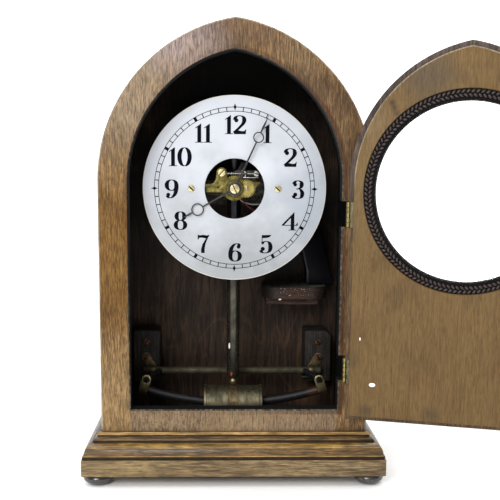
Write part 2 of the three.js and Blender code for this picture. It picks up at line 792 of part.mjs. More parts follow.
// Front plate: an arm to the left pillar, a lug for the worm's bearing and a pointed right end with a stud
function makePlates() {
  const earLow = wormRise - earHeight / 2;
  const earHigh = wormRise + earHeight / 2;
  const earFront = wormY - earReach;
  const bearing = (x) => {
    const bore = disc(wormArborRadius + runningGap, -2 * earHalfWidth, 2 * earHalfWidth, 'x', smallSteps);
    return bore.translate(x, wormY, wormRise);
  };
  const screwHole = (x, yFront, length, z) => {
    const hole = disc(plateScrewShank + seatGap, yFront - bite, yFront + length + seatGap, 'y', smallSteps);
    return hole.translate(x, 0, z);
  };

  const frontBoss = pillarTipRadius + seatGap + bossWall;
  const armLow = -3.5;
  const armHigh = 3.8;
  const armNeck = frontBoss - pillarX + 3.7;
  const outline = new THREE.Shape();
  outline.moveTo(-pillarX, -frontBoss);
  outline.lineTo(armNeck, armLow);
  outline.lineTo(lugX + lugRadius, armLow);
  outline.quadraticCurveTo(-4, -plateHeel, 3, -plateHeel);
  outline.lineTo(motionCentres + 1.5, -plateHeel * 0.7);
  outline.lineTo(platePointX, platePointZ);
  outline.lineTo(1, platePointZ + 0.6);
  outline.quadraticCurveTo(-5, platePointZ + 1, lugX + lugRadius, lugZ - 3);
  outline.absarc(lugX, lugZ, lugRadius, -0.3, Math.PI, false);
  outline.quadraticCurveTo(lugX - lugRadius, armHigh, lugX - 2 * lugRadius, armHigh);
  outline.lineTo(armNeck, armHigh);
  outline.lineTo(-pillarX, frontBoss);
  outline.absarc(-pillarX, 0, frontBoss, quarterTurn, 3 * quarterTurn, false);
  outline.holes.push(circle(-pillarX, 0, pillarTipRadius + seatGap));
  outline.holes.push(circle(0, 0, arborRadius + runningGap));
  outline.holes.push(circle(oilHoleX, oilHoleZ, oilHoleRadius));
  const studTip = hourWheelFront - seatGap;
  const leftEar = box(
    lugX - earHalfWidth,
    lugX + earHalfWidth,
    frontPlateBack - bite,
    wormY + earReach,
    earLow,
    earHigh,
  );
  const frontPlate = join(
    slab(outline, frontPlateFront, frontPlateBack),
    disc(studRadius, studTip, frontPlateBack, 'y', smallSteps).translate(motionCentres, 0, 0),
    leftEar,
  );
  const lugScrewLength = plateThickness + bite;
  const front = cut(frontPlate, bearing(lugX), screwHole(lugX, frontPlateFront, lugScrewLength, lugZ));
  piece('movement_front_plate', front.translate(0, 0, dialCentreZ), brass);
  const lugScrew = slottedScrew(lugScrewRadius, lugScrewHeight, plateScrewShank, lugScrewLength, 45);
  piece('lug_screw', lugScrew.translate(lugX, frontPlateFront - seatGap, dialCentreZ + lugZ), brass);

  const rearHalf = pillarTipRadius + pillarStep + seatGap + bossWall;
  const rear = new THREE.Shape();
  rear.moveTo(-pillarX, -rearHalf);
  rear.lineTo(pillarX, -rearHalf);
  rear.absarc(pillarX, 0, rearHalf, -quarterTurn, quarterTurn, false);
  rear.lineTo(earX + earHalfWidth + earHeight, rearHalf);
  rear.lineTo(earX + earHalfWidth, earHigh);
  rear.lineTo(arborRadius, earHigh);
  rear.lineTo(-4 * arborRadius, rearHalf);
  rear.absarc(-pillarX, 0, rearHalf, quarterTurn, 3 * quarterTurn, false);
  for (const x of [-pillarX, pillarX]) {
    rear.holes.push(circle(x, 0, pillarTipRadius + pillarStep + seatGap));
  }
  rear.holes.push(circle(0, 0, arborRadius + runningGap));
  const rightEar = box(
    earX - earHalfWidth,
    earX + earHalfWidth,
    earFront,
    backPlateFront + bite,
    earLow,
    earHigh,
  );
  const leverStud = disc(leverStudRadius, backPlateBack - bite, leverBack + seatGap, 'y', smallSteps);
  const backPlate = join(
    slab(rear, backPlateFront, backPlateBack),
    leverStud.translate(0, 0, leverPivotRise),
    rightEar,
  );
  const earScrewLength = earReach - wormArborRadius - runningGap - 1.3;
  const earHole = screwHole(earX, earFront, earScrewLength, wormRise);
  piece('movement_back_plate', cut(backPlate, bearing(earX), earHole).translate(0, 0, dialCentreZ), brass);
  const earScrew = slottedScrew(earScrewRadius, earScrewHeight, plateScrewShank, earScrewLength, 20);
  piece('ear_screw', earScrew.translate(earX, earFront - seatGap, wormZ), brightSteel);

  const bladeTop = earLow - seatGap;
  const ballX = ratchetX + contactReach;
  const ballZ = wormRise + contactRise;
  const ballY = earFront + seatGap;
  const bladeLeft = ballX - contactBallRadius;
  const bladeRight = earX + earHalfWidth;
  const contact = join(
    box(bladeLeft, bladeRight, earFront - bite, earFront + 2 * bite, bladeTop - bladeThickness, bladeTop),
    disc(bladeThickness, bladeTop - bladeThickness / 2, ballZ, 'z', smallSteps).translate(ballX, ballY, 0),
    new THREE.SphereGeometry(contactBallRadius, smallSteps, smallSteps).translate(ballX, ballY, ballZ),
  );
  piece('contact_spring', contact.translate(0, 0, dialCentreZ), brightSteel);
}

// Motion work: cannon pinion to minute wheel, minute pinion to hour wheel, and the worm wheel behind
function makeTrain() {
  const share = (driver, driven) => motionCentres * driver / (driver + driven);
  const fine = 0.9 * addendum;
  const minuteModuleRadius = share(minuteWheelTeeth, cannonTeeth);
  const hourModuleRadius = share(hourWheelTeeth, minutePinionTeeth);
  const halfTooth = (teeth) => Math.PI / teeth;
  const minuteWheelBack = minuteWheelFront + wheelThickness;
  const hourWheelBack = hourWheelFront + wheelThickness;
  const hourPipeFront = dialFront - handGap - handThickness - seatGap;
  const minuteHandBack = hourPipeFront - handGap;
  const pipeBore = arborRadius + runningGap;
  const pipeRadius = pipeBore + pipeWall;

  const cannonRadius = share(cannonTeeth, minuteWheelTeeth);
  const cannon = gear({ teeth: cannonTeeth, radius: cannonRadius, addendum, dedendum });
  const wormWheel = gear({
    teeth: wormWheelTeeth,
    radius: wormWheelRadius,
    addendum: wormAddendum,
    dedendum: wormDedendum,
    phase: quarterTurn + halfTooth(wormWheelTeeth),
  });
  const arborTip = minuteHandBack - handThickness - arborProud;
  const arbor = join(
    disc(arborRadius, arborTip, backPlateBack - seatGap, 'y', smallSteps),
    slab(cannon, minuteWheelFront - cannonOverlap, minuteWheelBack + cannonOverlap),
    slab(wormWheel, wormY - wormWheelThickness / 2, wormY + wormWheelThickness / 2),
  );
  const tappedEnd = arborTip + handScrewLength + seatGap;
  const tapped = disc(handScrewShank + seatGap, arborTip - bite, tappedEnd, 'y', smallSteps);
  piece('centre_arbor', cut(arbor, tapped).translate(0, 0, dialCentreZ), brass);
  const handScrew = slottedScrew(handScrewRadius, handScrewHeight, handScrewShank, handScrewLength, 65);
  piece('hand_screw', handScrew.translate(0, arborTip - seatGap, dialCentreZ), brass);

  const minuteWheel = gear({
    teeth: minuteWheelTeeth,
    radius: minuteModuleRadius,
    addendum,
    dedendum,
    phase: halfTooth(minuteWheelTeeth),
  });
  const minutePinion = gear({
    teeth: minutePinionTeeth,
    radius: share(minutePinionTeeth, hourWheelTeeth),
    addendum: fine,
    dedendum,
  });
  const minuteSolid = join(
    slab(minuteWheel, minuteWheelFront, minuteWheelBack),
    slab(minutePinion, hourWheelFront, minuteWheelFront + wheelThickness / 2),
    disc(minuteHubRadius, minuteWheelFront - minuteHubProud, minuteWheelBack, 'y', smallSteps),
  );
  const boreRadius = studRadius + runningGap;
  const studBore = disc(boreRadius, hourWheelFront - bite, minuteWheelBack + bite, 'y', smallSteps);
  const minutePart = cut(minuteSolid, studBore).translate(motionCentres, 0, dialCentreZ);
  piece('minute_wheel', minutePart, brass);

  const hourWheel = gear({
    teeth: hourWheelTeeth,
    radius: hourModuleRadius,
    addendum: fine,
    dedendum,
    phase: halfTooth(hourWheelTeeth),
    bore: pipeBore,
  });
  const hourSolid = join(
    slab(hourWheel, hourWheelFront, hourWheelBack),
    ring(pipeBore, pipeRadius, hourPipeFront, hourWheelBack, 'y', smallSteps),
  );
  piece('hour_wheel', hourSolid.translate(0, 0, dialCentreZ), brass);

  const hourHand = hand({
    length: hourHandLength,
    ringAt: hourHandLength - hourTipLength,
    ringRadius: hourRingRadius,
    hub: pipeRadius + hourHubWall,
    bore: pipeRadius + seatGap,
    front: dialFront - handGap - handThickness,
  });
  placeHand('hour_hand', hourHand, hourHandDegrees);
  const minuteHand = hand({
    length: minuteHandLength,
    ringAt: minuteHandLength - minuteTipLength,
    ringRadius: minuteRingRadius,
    hub: colletRadius,
    bore: arborRadius + seatGap,
    front: minuteHandBack - handThickness,
  });
  placeHand('minute_hand', minuteHand, minuteHandDegrees);
}

// A hand that points up: hub, tapering shaft, ring and a dart-shaped tip
function hand({ length, ringAt, ringRadius, hub, bore, front }) {
  const back = front + handThickness;
  const half = handWidth / 2;
  const waist = half * 0.7;
  const ringLow = ringAt - ringRadius + handRingWall / 2;
  const ringHigh = ringAt + ringRadius - handRingWall / 2;
  const shaft = polygon([[-half, hub / 2], [half, hub / 2], [waist, ringLow], [-waist, ringLow]]);
  const barbs = ringHigh + 0.3 * (length - ringHigh);
  const tip = polygon([[-waist, ringHigh], [waist, ringHigh], [half, barbs], [0, length], [-half, barbs]]);
  const eye = circle(0, ringAt, ringRadius);
  eye.holes.push(circle(0, ringAt, ringRadius - handRingWall));
  const blank = join(
    disc(hub, front, back, 'y'),
    slab(shaft, front, back),
    slab(tip, front, back),
    slab(eye, front, back),
  );
  return cut(blank, disc(bore, front - bite, back + bite, 'y', smallSteps));
}

function placeHand(name, geometry, degrees) {
  geometry.rotateY(degrees * radians).translate(0, 0, dialCentreZ);
  piece(name, geometry, darkSteel);
}

// Worm and ratchet wheel on one level arbor above the worm wheel
function makeWorm() {
  const core = wormRadius - wormDedendum;
  const crest = wormRadius + wormAddendum;
  const rootHalf = 0.3 * wormLead;
  const crestHalf = 0.12 * wormLead;
  const sunk = core - 0.2;
  const stepsPerTurn = 8;
  const turns = Math.floor(wormLength / wormLead) - 1;
  const middle = wormLeft + wormLength / 2;
  const startX = Math.round((middle - turns * wormLead / 2) / wormLead) * wormLead;
  const rings = [];
  for (let k = 0; k <= turns * stepsPerTurn; k += 1) {
    const angle = -quarterTurn + 2 * Math.PI * k / stepsPerTurn;
    const x = startX + wormLead * k / stepsPerTurn;
    const out = new THREE.Vector3(0, Math.cos(angle), Math.sin(angle));
    const corner = (radius, shift) => out.clone().multiplyScalar(radius).setX(x + shift);
    rings.push([
      corner(sunk, -rootHalf),
      corner(crest, -crestHalf),
      corner(crest, crestHalf),
      corner(sunk, rootHalf),
    ]);
  }
  const saw = Array.from({ length: ratchetTeeth }, (_, i) => {
    const tip = 2 * Math.PI * i / ratchetTeeth;
    const root = tip + 0.3 / ratchetTeeth;
    const rootRadius = ratchetRadius - ratchetDepth;
    return [
      [ratchetRadius * Math.cos(tip), ratchetRadius * Math.sin(tip)],
      [rootRadius * Math.cos(root), rootRadius * Math.sin(root)],
    ];
  }).flat();
  const arborLeft = lugX - earHalfWidth + seatGap;
  const arborRight = earX + earHalfWidth - seatGap;
  const arbor = join(
    disc(wormArborRadius, arborLeft, arborRight, 'x', smallSteps),
    disc(core, wormLeft, wormLeft + wormLength, 'x', smallSteps),
    loft(rings),
    strip(polygon(saw), ratchetX, ratchetX + ratchetThickness),
  );
  piece('worm_arbor', arbor.translate(0, wormY, wormZ), brightSteel);
}

function makePendulum() {
  const springLow = pivotZ - springLength;
  const sleeveTop = springLow + bite;
  const sleeveLow = sleeveTop - sleeveLength;
  const bobbinTop = bobbinZ + bobbinRadius;
  const nutZ = bobbinTop + seatGap + nutRadius;
  const rodLow = nutZ + nutRadius + seatGap;
  const pinTip = leverFront - drivePinProud;
  const springHalf = springThickness / 2;
  const springFront = pendulumY - springWidth / 2;
  const rod = join(
    turned([
      [0, bobbinTop + seatGap],
      [stemRadius, bobbinTop + seatGap],
      [stemRadius, rodLow],
      [rodRadius * 0.6, rodLow],
      [rodRadius, rodLow + rodTaper],
      [rodRadius, sleeveLow],
      [sleeveRadius, sleeveLow],
      [sleeveRadius, sleeveTop],
      [0, sleeveTop],
    ], 'z').translate(0, pendulumY, 0),
    box(-springHalf, springHalf, springFront, springFront + springWidth, springLow, pivotZ),
    disc(drivePinRadius, pinTip, pendulumY, 'y', smallSteps).translate(0, 0, drivePinZ),
  );
  piece('pendulum_rod', rod, darkSteel);

  const nut = turned([
    [stemRadius + seatGap, -nutRadius],
    [nutRadius * 0.55, -nutRadius],
    [nutRadius * 0.95, -nutRadius * 0.4],
    [nutRadius * 0.95, nutRadius * 0.4],
    [nutRadius * 0.55, nutRadius],
    [stemRadius + seatGap, nutRadius],
    [stemRadius + seatGap, -nutRadius],
  ], 'z');
  piece('rating_nut', nut.translate(0, pendulumY, nutZ), brass);

  const half = bobbinLength / 2;
  const winding = bobbinRadius - flangeProud;
  const strapHalf = bobbinStrap / 2;
  const bobbin = turned([
    [bobbinBore, -half],
    [bobbinRadius, -half],
    [bobbinRadius, -half + bobbinFlange],
    [winding, -half + bobbinFlange],
    [winding, -strapHalf],
    [bobbinRadius, -strapHalf],
    [bobbinRadius, strapHalf],
    [winding, strapHalf],
    [winding, half - bobbinFlange],
    [bobbinRadius, half - bobbinFlange],
    [bobbinRadius, half],
    [bobbinBore, half],
    [bobbinBore, -half],
  ], 'x', bobbinSteps);
  piece('pendulum_bobbin', bobbin.translate(0, pendulumY, bobbinZ), dullBrass);
}

// Lever that the pendulum's pin rocks; its pawl wire steps the ratchet wheel on
function makeLever() {
  const half = leverWidth / 2;
  const slotHalf = drivePinRadius + forkClearance;
  const prong = slotHalf + forkProng;
  const forkLow = -leverLength - forkReach;
  const slotTop = -leverLength + forkReach;
  const forkTop = slotTop + forkProng;
  const outline = polygon([
    [-half, 0],
    [-half, forkTop + prong],
    [-prong, forkTop],
    [-prong, forkLow],
    [-slotHalf, forkLow],
    [-slotHalf, slotTop],
    [slotHalf, slotTop],
    [slotHalf, forkLow],
    [prong, forkLow],
    [prong, forkTop],
    [half, forkTop + prong],
    [half, 0],
  ]);
  const pawlTipZ = wormRise - leverPivotRise + ratchetRadius + pawlLift;
  const post = [leverArmX, wormY + pawlDrop, leverArmZ + pawlWire];
  const tail = [leverArmX, leverBack - pawlWire / 2, leverArmZ + pawlWire];
  const tip = [ratchetX + ratchetThickness / 2, wormY, pawlTipZ];
  const blank = join(
    slab(outline, leverFront, leverBack),
    slab(capsule(0, 0, leverArmX, leverArmZ, leverArmHalf), leverFront, leverBack),
    straightRod(tail, [post[0], post[1] - pawlWire, post[2]], pawlWire),
    straightRod(post, tip, pawlWire * 0.85),
  );
  const bore = disc(leverStudRadius + runningGap, leverFront - bite, leverBack + bite, 'y', smallSteps);
  piece('drive_lever', cut(blank, bore).translate(0, 0, leverPivotZ), darkSteel);
}

// Bar magnet bent to the pendulum's own radius and sleeved by the bobbin
function makeMagnet() {
  const halfAngle = Math.asin(magnetHalfSpan / pendulumLength);
  const rings = Array.from({ length: magnetSteps + 1 }, (_, k) => {
    const along = halfAngle * (2 * k / magnetSteps - 1);
    return Array.from({ length: magnetSides }, (__, i) => {
      const round = 2 * Math.PI * i / magnetSides;
      const reach = pendulumLength + magnetRadius * Math.cos(round);
      const y = pendulumY + magnetRadius * Math.sin(round);
      return new THREE.Vector3(reach * Math.sin(along), y, pivotZ - reach * Math.cos(along));
    });
  });
  piece('curved_magnet', loft(rings), blackEnamel);
}

// Holders of one side, drawn on the right: block, crossbar clip, magnet clip and their screws
function makeMagnetHolders() {
  const hole = (x, yFront, length, z) => {
    const bore = disc(clipScrewShank + seatGap, yFront - bite, yFront + length + seatGap, 'y', smallSteps);
    return bore.translate(x, 0, z);
  };
  const magnetBore = magnetRadius + seatGap;
  const magnetClipOuter = magnetBore + clipThickness;
  const clipAngle = Math.asin(magnetClipAt / pendulumLength);
  const clipZ = pivotZ - pendulumLength * Math.cos(clipAngle);
  const tabX = magnetClipAt - tabHeight * Math.sin(clipAngle);
  const tabZ = clipZ + tabHeight * Math.cos(clipAngle);
  const tabFront = pendulumY - magnetClipOuter;
  const padFront = tabFront + clipThickness + seatGap;
  const clipRingOuter = crossbarClipBore + clipThickness;
  const clipPlateFront = crossbarY + crossbarClipBore;
  const crossbarScrewZ = crossbarZ + crossbarScrewRise;

  const tab = slab(capsule(0, 0, 0, tabHeight, tabRadius), -magnetClipOuter, -magnetBore);
  const bandHalf = magnetClipWidth / 2;
  const magnetClip = cut(
    join(ring(magnetBore, magnetClipOuter, -bandHalf, bandHalf, 'x'), tab),
    disc(magnetBore, -bandHalf - bite, bandHalf + bite, 'x'),
    hole(0, -magnetClipOuter, clipThickness, tabHeight),
  );
  magnetClip.rotateY(-clipAngle).translate(magnetClipAt, pendulumY, clipZ);

  const clipLeft = crossbarHalf - crossbarClipWidth - crossbarProud;
  const clipMiddle = clipLeft + crossbarClipWidth / 2;
  const crossbarClip = cut(
    join(
      ring(crossbarClipBore, clipRingOuter, clipLeft, clipLeft + crossbarClipWidth, 'x')
        .translate(0, crossbarY, crossbarZ),
      slab(
        capsule(clipMiddle, crossbarZ, crossbarScrewX, crossbarScrewZ, tabRadius),
        clipPlateFront,
        clipPlateFront + clipThickness,
      ),
    ),
    hole(crossbarScrewX, clipPlateFront, clipThickness, crossbarScrewZ),
  );

  const blockShape = (chamfer) => polygon([
    [blockInner, blockLow],
    [blockOuter, blockLow],
    [blockOuter, blockHigh - chamfer],
    [blockOuter - chamfer, blockHigh],
    [blockInner + blockEase, blockHigh],
    [blockInner, blockHigh - blockEase],
  ]);
  const block = (chamfer) => cut(
    slab(blockShape(chamfer), blockFront, boardSeat),
    hole(blockScrewX, blockFront, blockScrewLength, blockScrewZ),
    hole(crossbarScrewX, blockFront, blockScrewLength, crossbarScrewZ),
  );
  const screw = (length, x, seat, z) => {
    const blank = slottedScrew(clipScrewHeadRadius, clipScrewHeadHeight, clipScrewShank, length, 55);
    return blank.translate(x, seat - seatGap, z);
  };
  const plateToBlock = blockFront - clipPlateFront;
  const blockScrew = screw(blockScrewLength, blockScrewX, blockFront, blockScrewZ);
  const clipScrew = screw(blockScrewLength + plateToBlock, crossbarScrewX, clipPlateFront, crossbarScrewZ);
  const magnetScrew = screw(magnetScrewLength, tabX, tabFront, tabZ);

  const sides = [
    ['right', (geometry) => geometry.clone(), blockChamfer],
    ['left', mirrored, blockEase],
  ];
  for (const [side, place, chamfer] of sides) {
    piece(`magnet_block_${side}`, place(block(chamfer)), darkWood);
    piece(`block_screw_${side}`, place(blockScrew), copper);
    piece(`crossbar_clip_${side}`, place(crossbarClip), dullBrass);
    piece(`crossbar_clip_screw_${side}`, place(clipScrew), dullBrass);
    piece(`magnet_clip_${side}`, place(magnetClip), brass);
    piece(`magnet_clip_screw_${side}`, place(magnetScrew), dullBrass);
  }

  const arm = join(
    straightRod([armFootX, crossbarY, crossbarZ], [tabX, padFront + armPadLength / 2, tabZ], armRadius),
    disc(armRadius + armPadWall, padFront, padFront + armPadLength, 'y', smallSteps).translate(tabX, 0, tabZ),
  );
  const crossbar = join(
    disc(crossbarRadius, -crossbarHalf, crossbarHalf, 'x').translate(0, crossbarY, crossbarZ),
    arm,
    mirrored(arm),
  );
  const armHoleLength = magnetScrewLength - (padFront - tabFront);
  const armHoles = [tabX, -tabX].map((x) => hole(x, padFront, armHoleLength, tabZ));
  piece('magnet_crossbar', cut(crossbar, ...armHoles), dullBrass);
}

// Round-cornered shelf on a cleat, the battery that leans on it and the two leads to the movement
function makeBattery() {
  const front = boardSeat - shelfDepth;
  const corner = shelfCornerRadius;
  const shelfShape = new THREE.Shape();
  shelfShape.moveTo(shelfLeft, boardSeat);
  shelfShape.absarc(shelfLeft + corner, front + corner, corner, Math.PI, 3 * quarterTurn, false);
  shelfShape.absarc(shelfRight - corner, front + corner, corner, -quarterTurn, 0, false);
  shelfShape.lineTo(shelfRight, boardSeat);
  const shelfLow = shelfTop - shelfThickness;
  const cleat = box(
    shelfLeft + cleatInset,
    shelfRight - cleatInset,
    boardSeat - cleatDepth,
    boardSeat,
    shelfLow - cleatHeight,
    shelfLow + bite,
  );
  piece('battery_shelf', join(tile(shelfShape, shelfLow, shelfTop), cleat), darkWood);

  const footLow = shelfTop + seatGap;
  const yBack = boardSeat - batteryToBoard;
  const yFront = yBack - batteryDepth;
  const right = batteryLeft + batteryWidth;
  const lean = Math.tan(batteryLeanDegrees * radians);
  const shoulder = footLow + batteryFootHeight;
  const top = shoulder + batteryHeight;
  const level = (xLow, xHigh, z) => [
    new THREE.Vector3(xLow, yFront, z),
    new THREE.Vector3(xHigh, yFront, z),
    new THREE.Vector3(xHigh, yBack, z),
    new THREE.Vector3(xLow, yBack, z),
  ];
  const battery = loft([
    level(batteryLeft, right + batteryFootFlare, footLow),
    level(batteryLeft, right + batteryFootFlare, footLow + batteryFootHeight * 0.4),
    level(batteryLeft, right, shoulder),
    level(batteryLeft - lean * batteryHeight, right - lean * batteryHeight, top),
  ]);
  piece('battery', battery, blackEnamel);

  const terminalX = batteryLeft - lean * batteryHeight + batteryWidth / 2;
  const terminalY = (yFront + yBack) / 2;
  const terminalZ = top + seatGap;
  const leadY = backPlateFront - seatGap - leadRadius;
  const pale = [
    [3.4, leadY, dialCentreZ - 5],
    [4.6, leadY - 0.6, dialCentreZ - 10],
    [10, leadY - 1, dialCentreZ - 13],
    [16, leadY - 1, dialCentreZ - 14.4],
    [22.6, leadY, dialCentreZ - 14.4],
    [34, 0, dialCentreZ - 16],
    [terminalX - 14, terminalY - 12, terminalZ + 9],
    [terminalX - 4, terminalY, terminalZ + 6],
    [terminalX - 4, terminalY, terminalZ],
  ];
  piece('lead_pale', wire(pale, leadRadius, leadSteps), paleLead);
  const red = [
    [6.5, leadY, dialCentreZ - 5],
    [7.5, leadY - 1.8, dialCentreZ - 10],
    [10.5, leadY - 2.6, dialCentreZ - 14.8],
    [17, leadY - 1, dialCentreZ - 19.4],
    [28, -4, dialCentreZ - 25],
    [terminalX - 10, terminalY - 18, terminalZ + 14],
    [terminalX + 4, terminalY - 3, terminalZ + 8],
    [terminalX + 4, terminalY, terminalZ],
  ];
  piece('lead_red', wire(red, leadRadius, leadSteps), redLead);
}

makeBase();
makeMouldings();
makeCase();
makeDoor();
makeHinges();
makeMovementFrame();
makePlates();
makeTrain();
makeWorm();
makePendulum();
makeLever();
makeMagnet();
makeMagnetHolders();
makeBattery();

export default clock;
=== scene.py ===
"""Looks of a lancet-arched electric mantel clock that stands with its door open."""

import json
import math
import random
from functools import partial

import bmesh
import bpy
from mathutils import Matrix, Vector


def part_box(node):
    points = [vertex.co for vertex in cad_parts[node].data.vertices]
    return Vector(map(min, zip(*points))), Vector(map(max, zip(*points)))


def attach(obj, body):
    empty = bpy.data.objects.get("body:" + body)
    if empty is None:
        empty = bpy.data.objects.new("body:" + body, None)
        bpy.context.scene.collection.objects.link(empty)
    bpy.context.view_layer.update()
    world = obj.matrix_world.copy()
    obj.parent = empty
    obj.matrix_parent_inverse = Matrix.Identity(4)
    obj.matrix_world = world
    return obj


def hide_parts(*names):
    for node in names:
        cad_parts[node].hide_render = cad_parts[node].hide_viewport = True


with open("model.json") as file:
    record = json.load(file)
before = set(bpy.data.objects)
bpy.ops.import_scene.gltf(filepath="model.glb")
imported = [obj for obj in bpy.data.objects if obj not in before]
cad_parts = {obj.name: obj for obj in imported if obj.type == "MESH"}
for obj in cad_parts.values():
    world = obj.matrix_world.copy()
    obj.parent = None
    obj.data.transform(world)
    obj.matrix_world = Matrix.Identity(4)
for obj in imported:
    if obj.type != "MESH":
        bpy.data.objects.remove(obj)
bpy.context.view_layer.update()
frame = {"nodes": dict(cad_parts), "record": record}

MM = 0.001
behaviour = frame["record"]["behaviour"]
body_of = {node: body for body, members in behaviour["bodies"].items() for node in members}
joints = {joint["name"]: joint for joint in behaviour["joints"]}


def span(node):
    """Lowest and highest corner of a CAD node in millimetres."""
    return tuple(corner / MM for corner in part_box(node))


def centre_of(node):
    """Middle of a CAD node's box in millimetres."""
    low, high = span(node)
    return (low + high) / 2


# Sizes of the case, read from the frame, in millimetres
frame_low, frame_high = span("case_front_frame")
dial_low, dial_high = span("dial_plate")
base_high = span("plinth_rim")[1]
SIDES = (("right", 1), ("left", -1))
SEAT = 0.3  # gap left between pieces that sit on each other
BODY_HALF = frame_high.x
ARCH_OFFSET = 20.4  # from the middle line to the centre of the opposite arc
ARCH_SPRING = frame_high.z - math.sqrt((BODY_HALF + ARCH_OFFSET) ** 2 - ARCH_OFFSET ** 2)
OPENING_HALF = BODY_HALF - 25.3
RAIL_TOP = base_high.z + 38.2
SIDE_THICKNESS = 9.5
DIAL_Z = (dial_low.z + dial_high.z) / 2
DIAL_RADIUS = dial_high.x
DIAL_HOLE = 26.1
DIAL_FACE = dial_low.y
PENDULUM_Y, PIVOT_Z = (c / MM for c in joints["pendulum_swing"]["pos_m"][1:])
BOBBIN_Z = centre_of("pendulum_bobbin").z

# Door, drawn shut and then swung open about its hinge axis
HINGE = Vector((*joints["door_swing"]["pos_m"][:2], 0)) / MM
HINGE_SPANS = {name: span(f"hinge_frame_leaf_{name}") for name in ("upper", "lower")}
HINGE_BEDS = [(low.z - SEAT, high.z + SEAT) for low, high in HINGE_SPANS.values()]
DOOR_BACK = frame_low.y - SEAT
DOOR_FRONT = HINGE.y + 0.7
FIELD_BACK = DOOR_BACK + 8.3
LIP_HALF = HINGE.x - 0.7
LIP_FOOT = RAIL_TOP - (LIP_HALF - OPENING_HALF)
FIELD_HALF = OPENING_HALF - 1.0
FIELD_FOOT = RAIL_TOP + 1.0
SIGHT = 71.0  # radius of the round light
REBATE = 80.0  # radius of the seat for glass and bead
GLASS_FRONT = DOOR_FRONT + 3.0
OPENED = Matrix.Rotation(math.radians(-joints["door_swing"]["range_deg"][0]), 4, "Z")
SWUNG = Matrix.Translation(HINGE) @ OPENED @ Matrix.Translation(-HINGE)
UNSWUNG = SWUNG.inverted()


# Finishes

def tint(code):
    """Linear colour of an sRGB hex code."""
    channels = [int(code[i:i + 2], 16) / 255 for i in (0, 2, 4)]
    return [c / 12.92 if c <= 0.04045 else ((c + 0.055) / 1.055) ** 2.4 for c in channels] + [1.0]


def connect(node, inputs):
    """Sets a node's inputs, by name or in order, to values or links them."""
    for key, value in inputs.items() if isinstance(inputs, dict) else enumerate(inputs):
        if isinstance(value, bpy.types.NodeSocket):
            node.id_data.links.new(value, node.inputs[key])
        else:
            node.inputs[key].default_value = value


def new_node(tree, kind, inputs=(), out=0, stops=(), **settings):
    """One shader node with its settings, inputs and a ramp's colour stops; gives one of its outputs."""
    made = tree.nodes.new("ShaderNode" + kind)
    for key, value in settings.items():
        setattr(made, key, value)
    connect(made, inputs)
    for number, (position, code) in enumerate(stops):
        elements = made.color_ramp.elements
        element = elements[number] if number < 2 else elements.new(position)
        element.position = position
        element.color = tint(code)
    return made.outputs[out]


def new_finish(name):
    """A named material, the way to add a node to it, and its surface shader."""
    material = bpy.data.materials.new(name)
    material.use_nodes = True
    tree = material.node_tree
    return material, partial(new_node, tree), tree.nodes["Principled BSDF"]


def patched(add, place, ragged, colour, patches):
    """Lays soft ragged patches of another tone on a colour: where, reach in mm, tone and strength."""
    for centre, reach, code, amount in patches:
        gap = add("VectorMath", [place, [c * MM for c in centre]], "Value", operation="DISTANCE")
        edge = add("Math", [ragged, reach * MM, gap], operation="MULTIPLY_ADD")
        mask = add("MapRange", [edge, 1.6 * reach * MM, 0.8 * reach * MM, 0.0, amount])
        colour = add("Mix", {0: mask, 6: colour, 7: tint(code)}, 2, data_type="RGBA")
    return colour


def lip_shade(add, place, ragged, colour, code):
    """Darkens the strip round the opening that the shut door's lip covers, most of all on the right by the
    hinge: painted shade of the opened door, over wood that the lip kept from fading.
    """
    x, z = (add("SeparateXYZ", [place], axis) for axis in "XZ")
    across = add("Math", [x], operation="ABSOLUTE")
    across = add("Math", [across, ARCH_OFFSET * MM], operation="ADD")
    above = add("Math", [z, ARCH_SPRING * MM], operation="SUBTRACT")
    above = add("Math", [above, 0.0], operation="MAXIMUM")
    arm = add("CombineXYZ", [across, above])
    reach = add("VectorMath", [arm], "Value", operation="LENGTH")
    beside = add("Math", [reach, (ARCH_OFFSET + OPENING_HALF) * MM], operation="SUBTRACT")
    below = add("Math", [RAIL_TOP * MM, z], operation="SUBTRACT")
    away = add("Math", [beside, below], operation="MAXIMUM")
    frayed = add("Math", [ragged, -5 * MM, away], operation="MULTIPLY_ADD")
    strip = add("MapRange", [frayed, 2.6 * MM, 1.0 * MM])
    amount = add("MapRange", [x, -30 * MM, 70 * MM, 0.12, 0.8])
    mask = add("Math", [strip, amount], operation="MULTIPLY")
    return add("Mix", {0: mask, 6: colour, 7: tint(code)}, 2, data_type="RGBA")


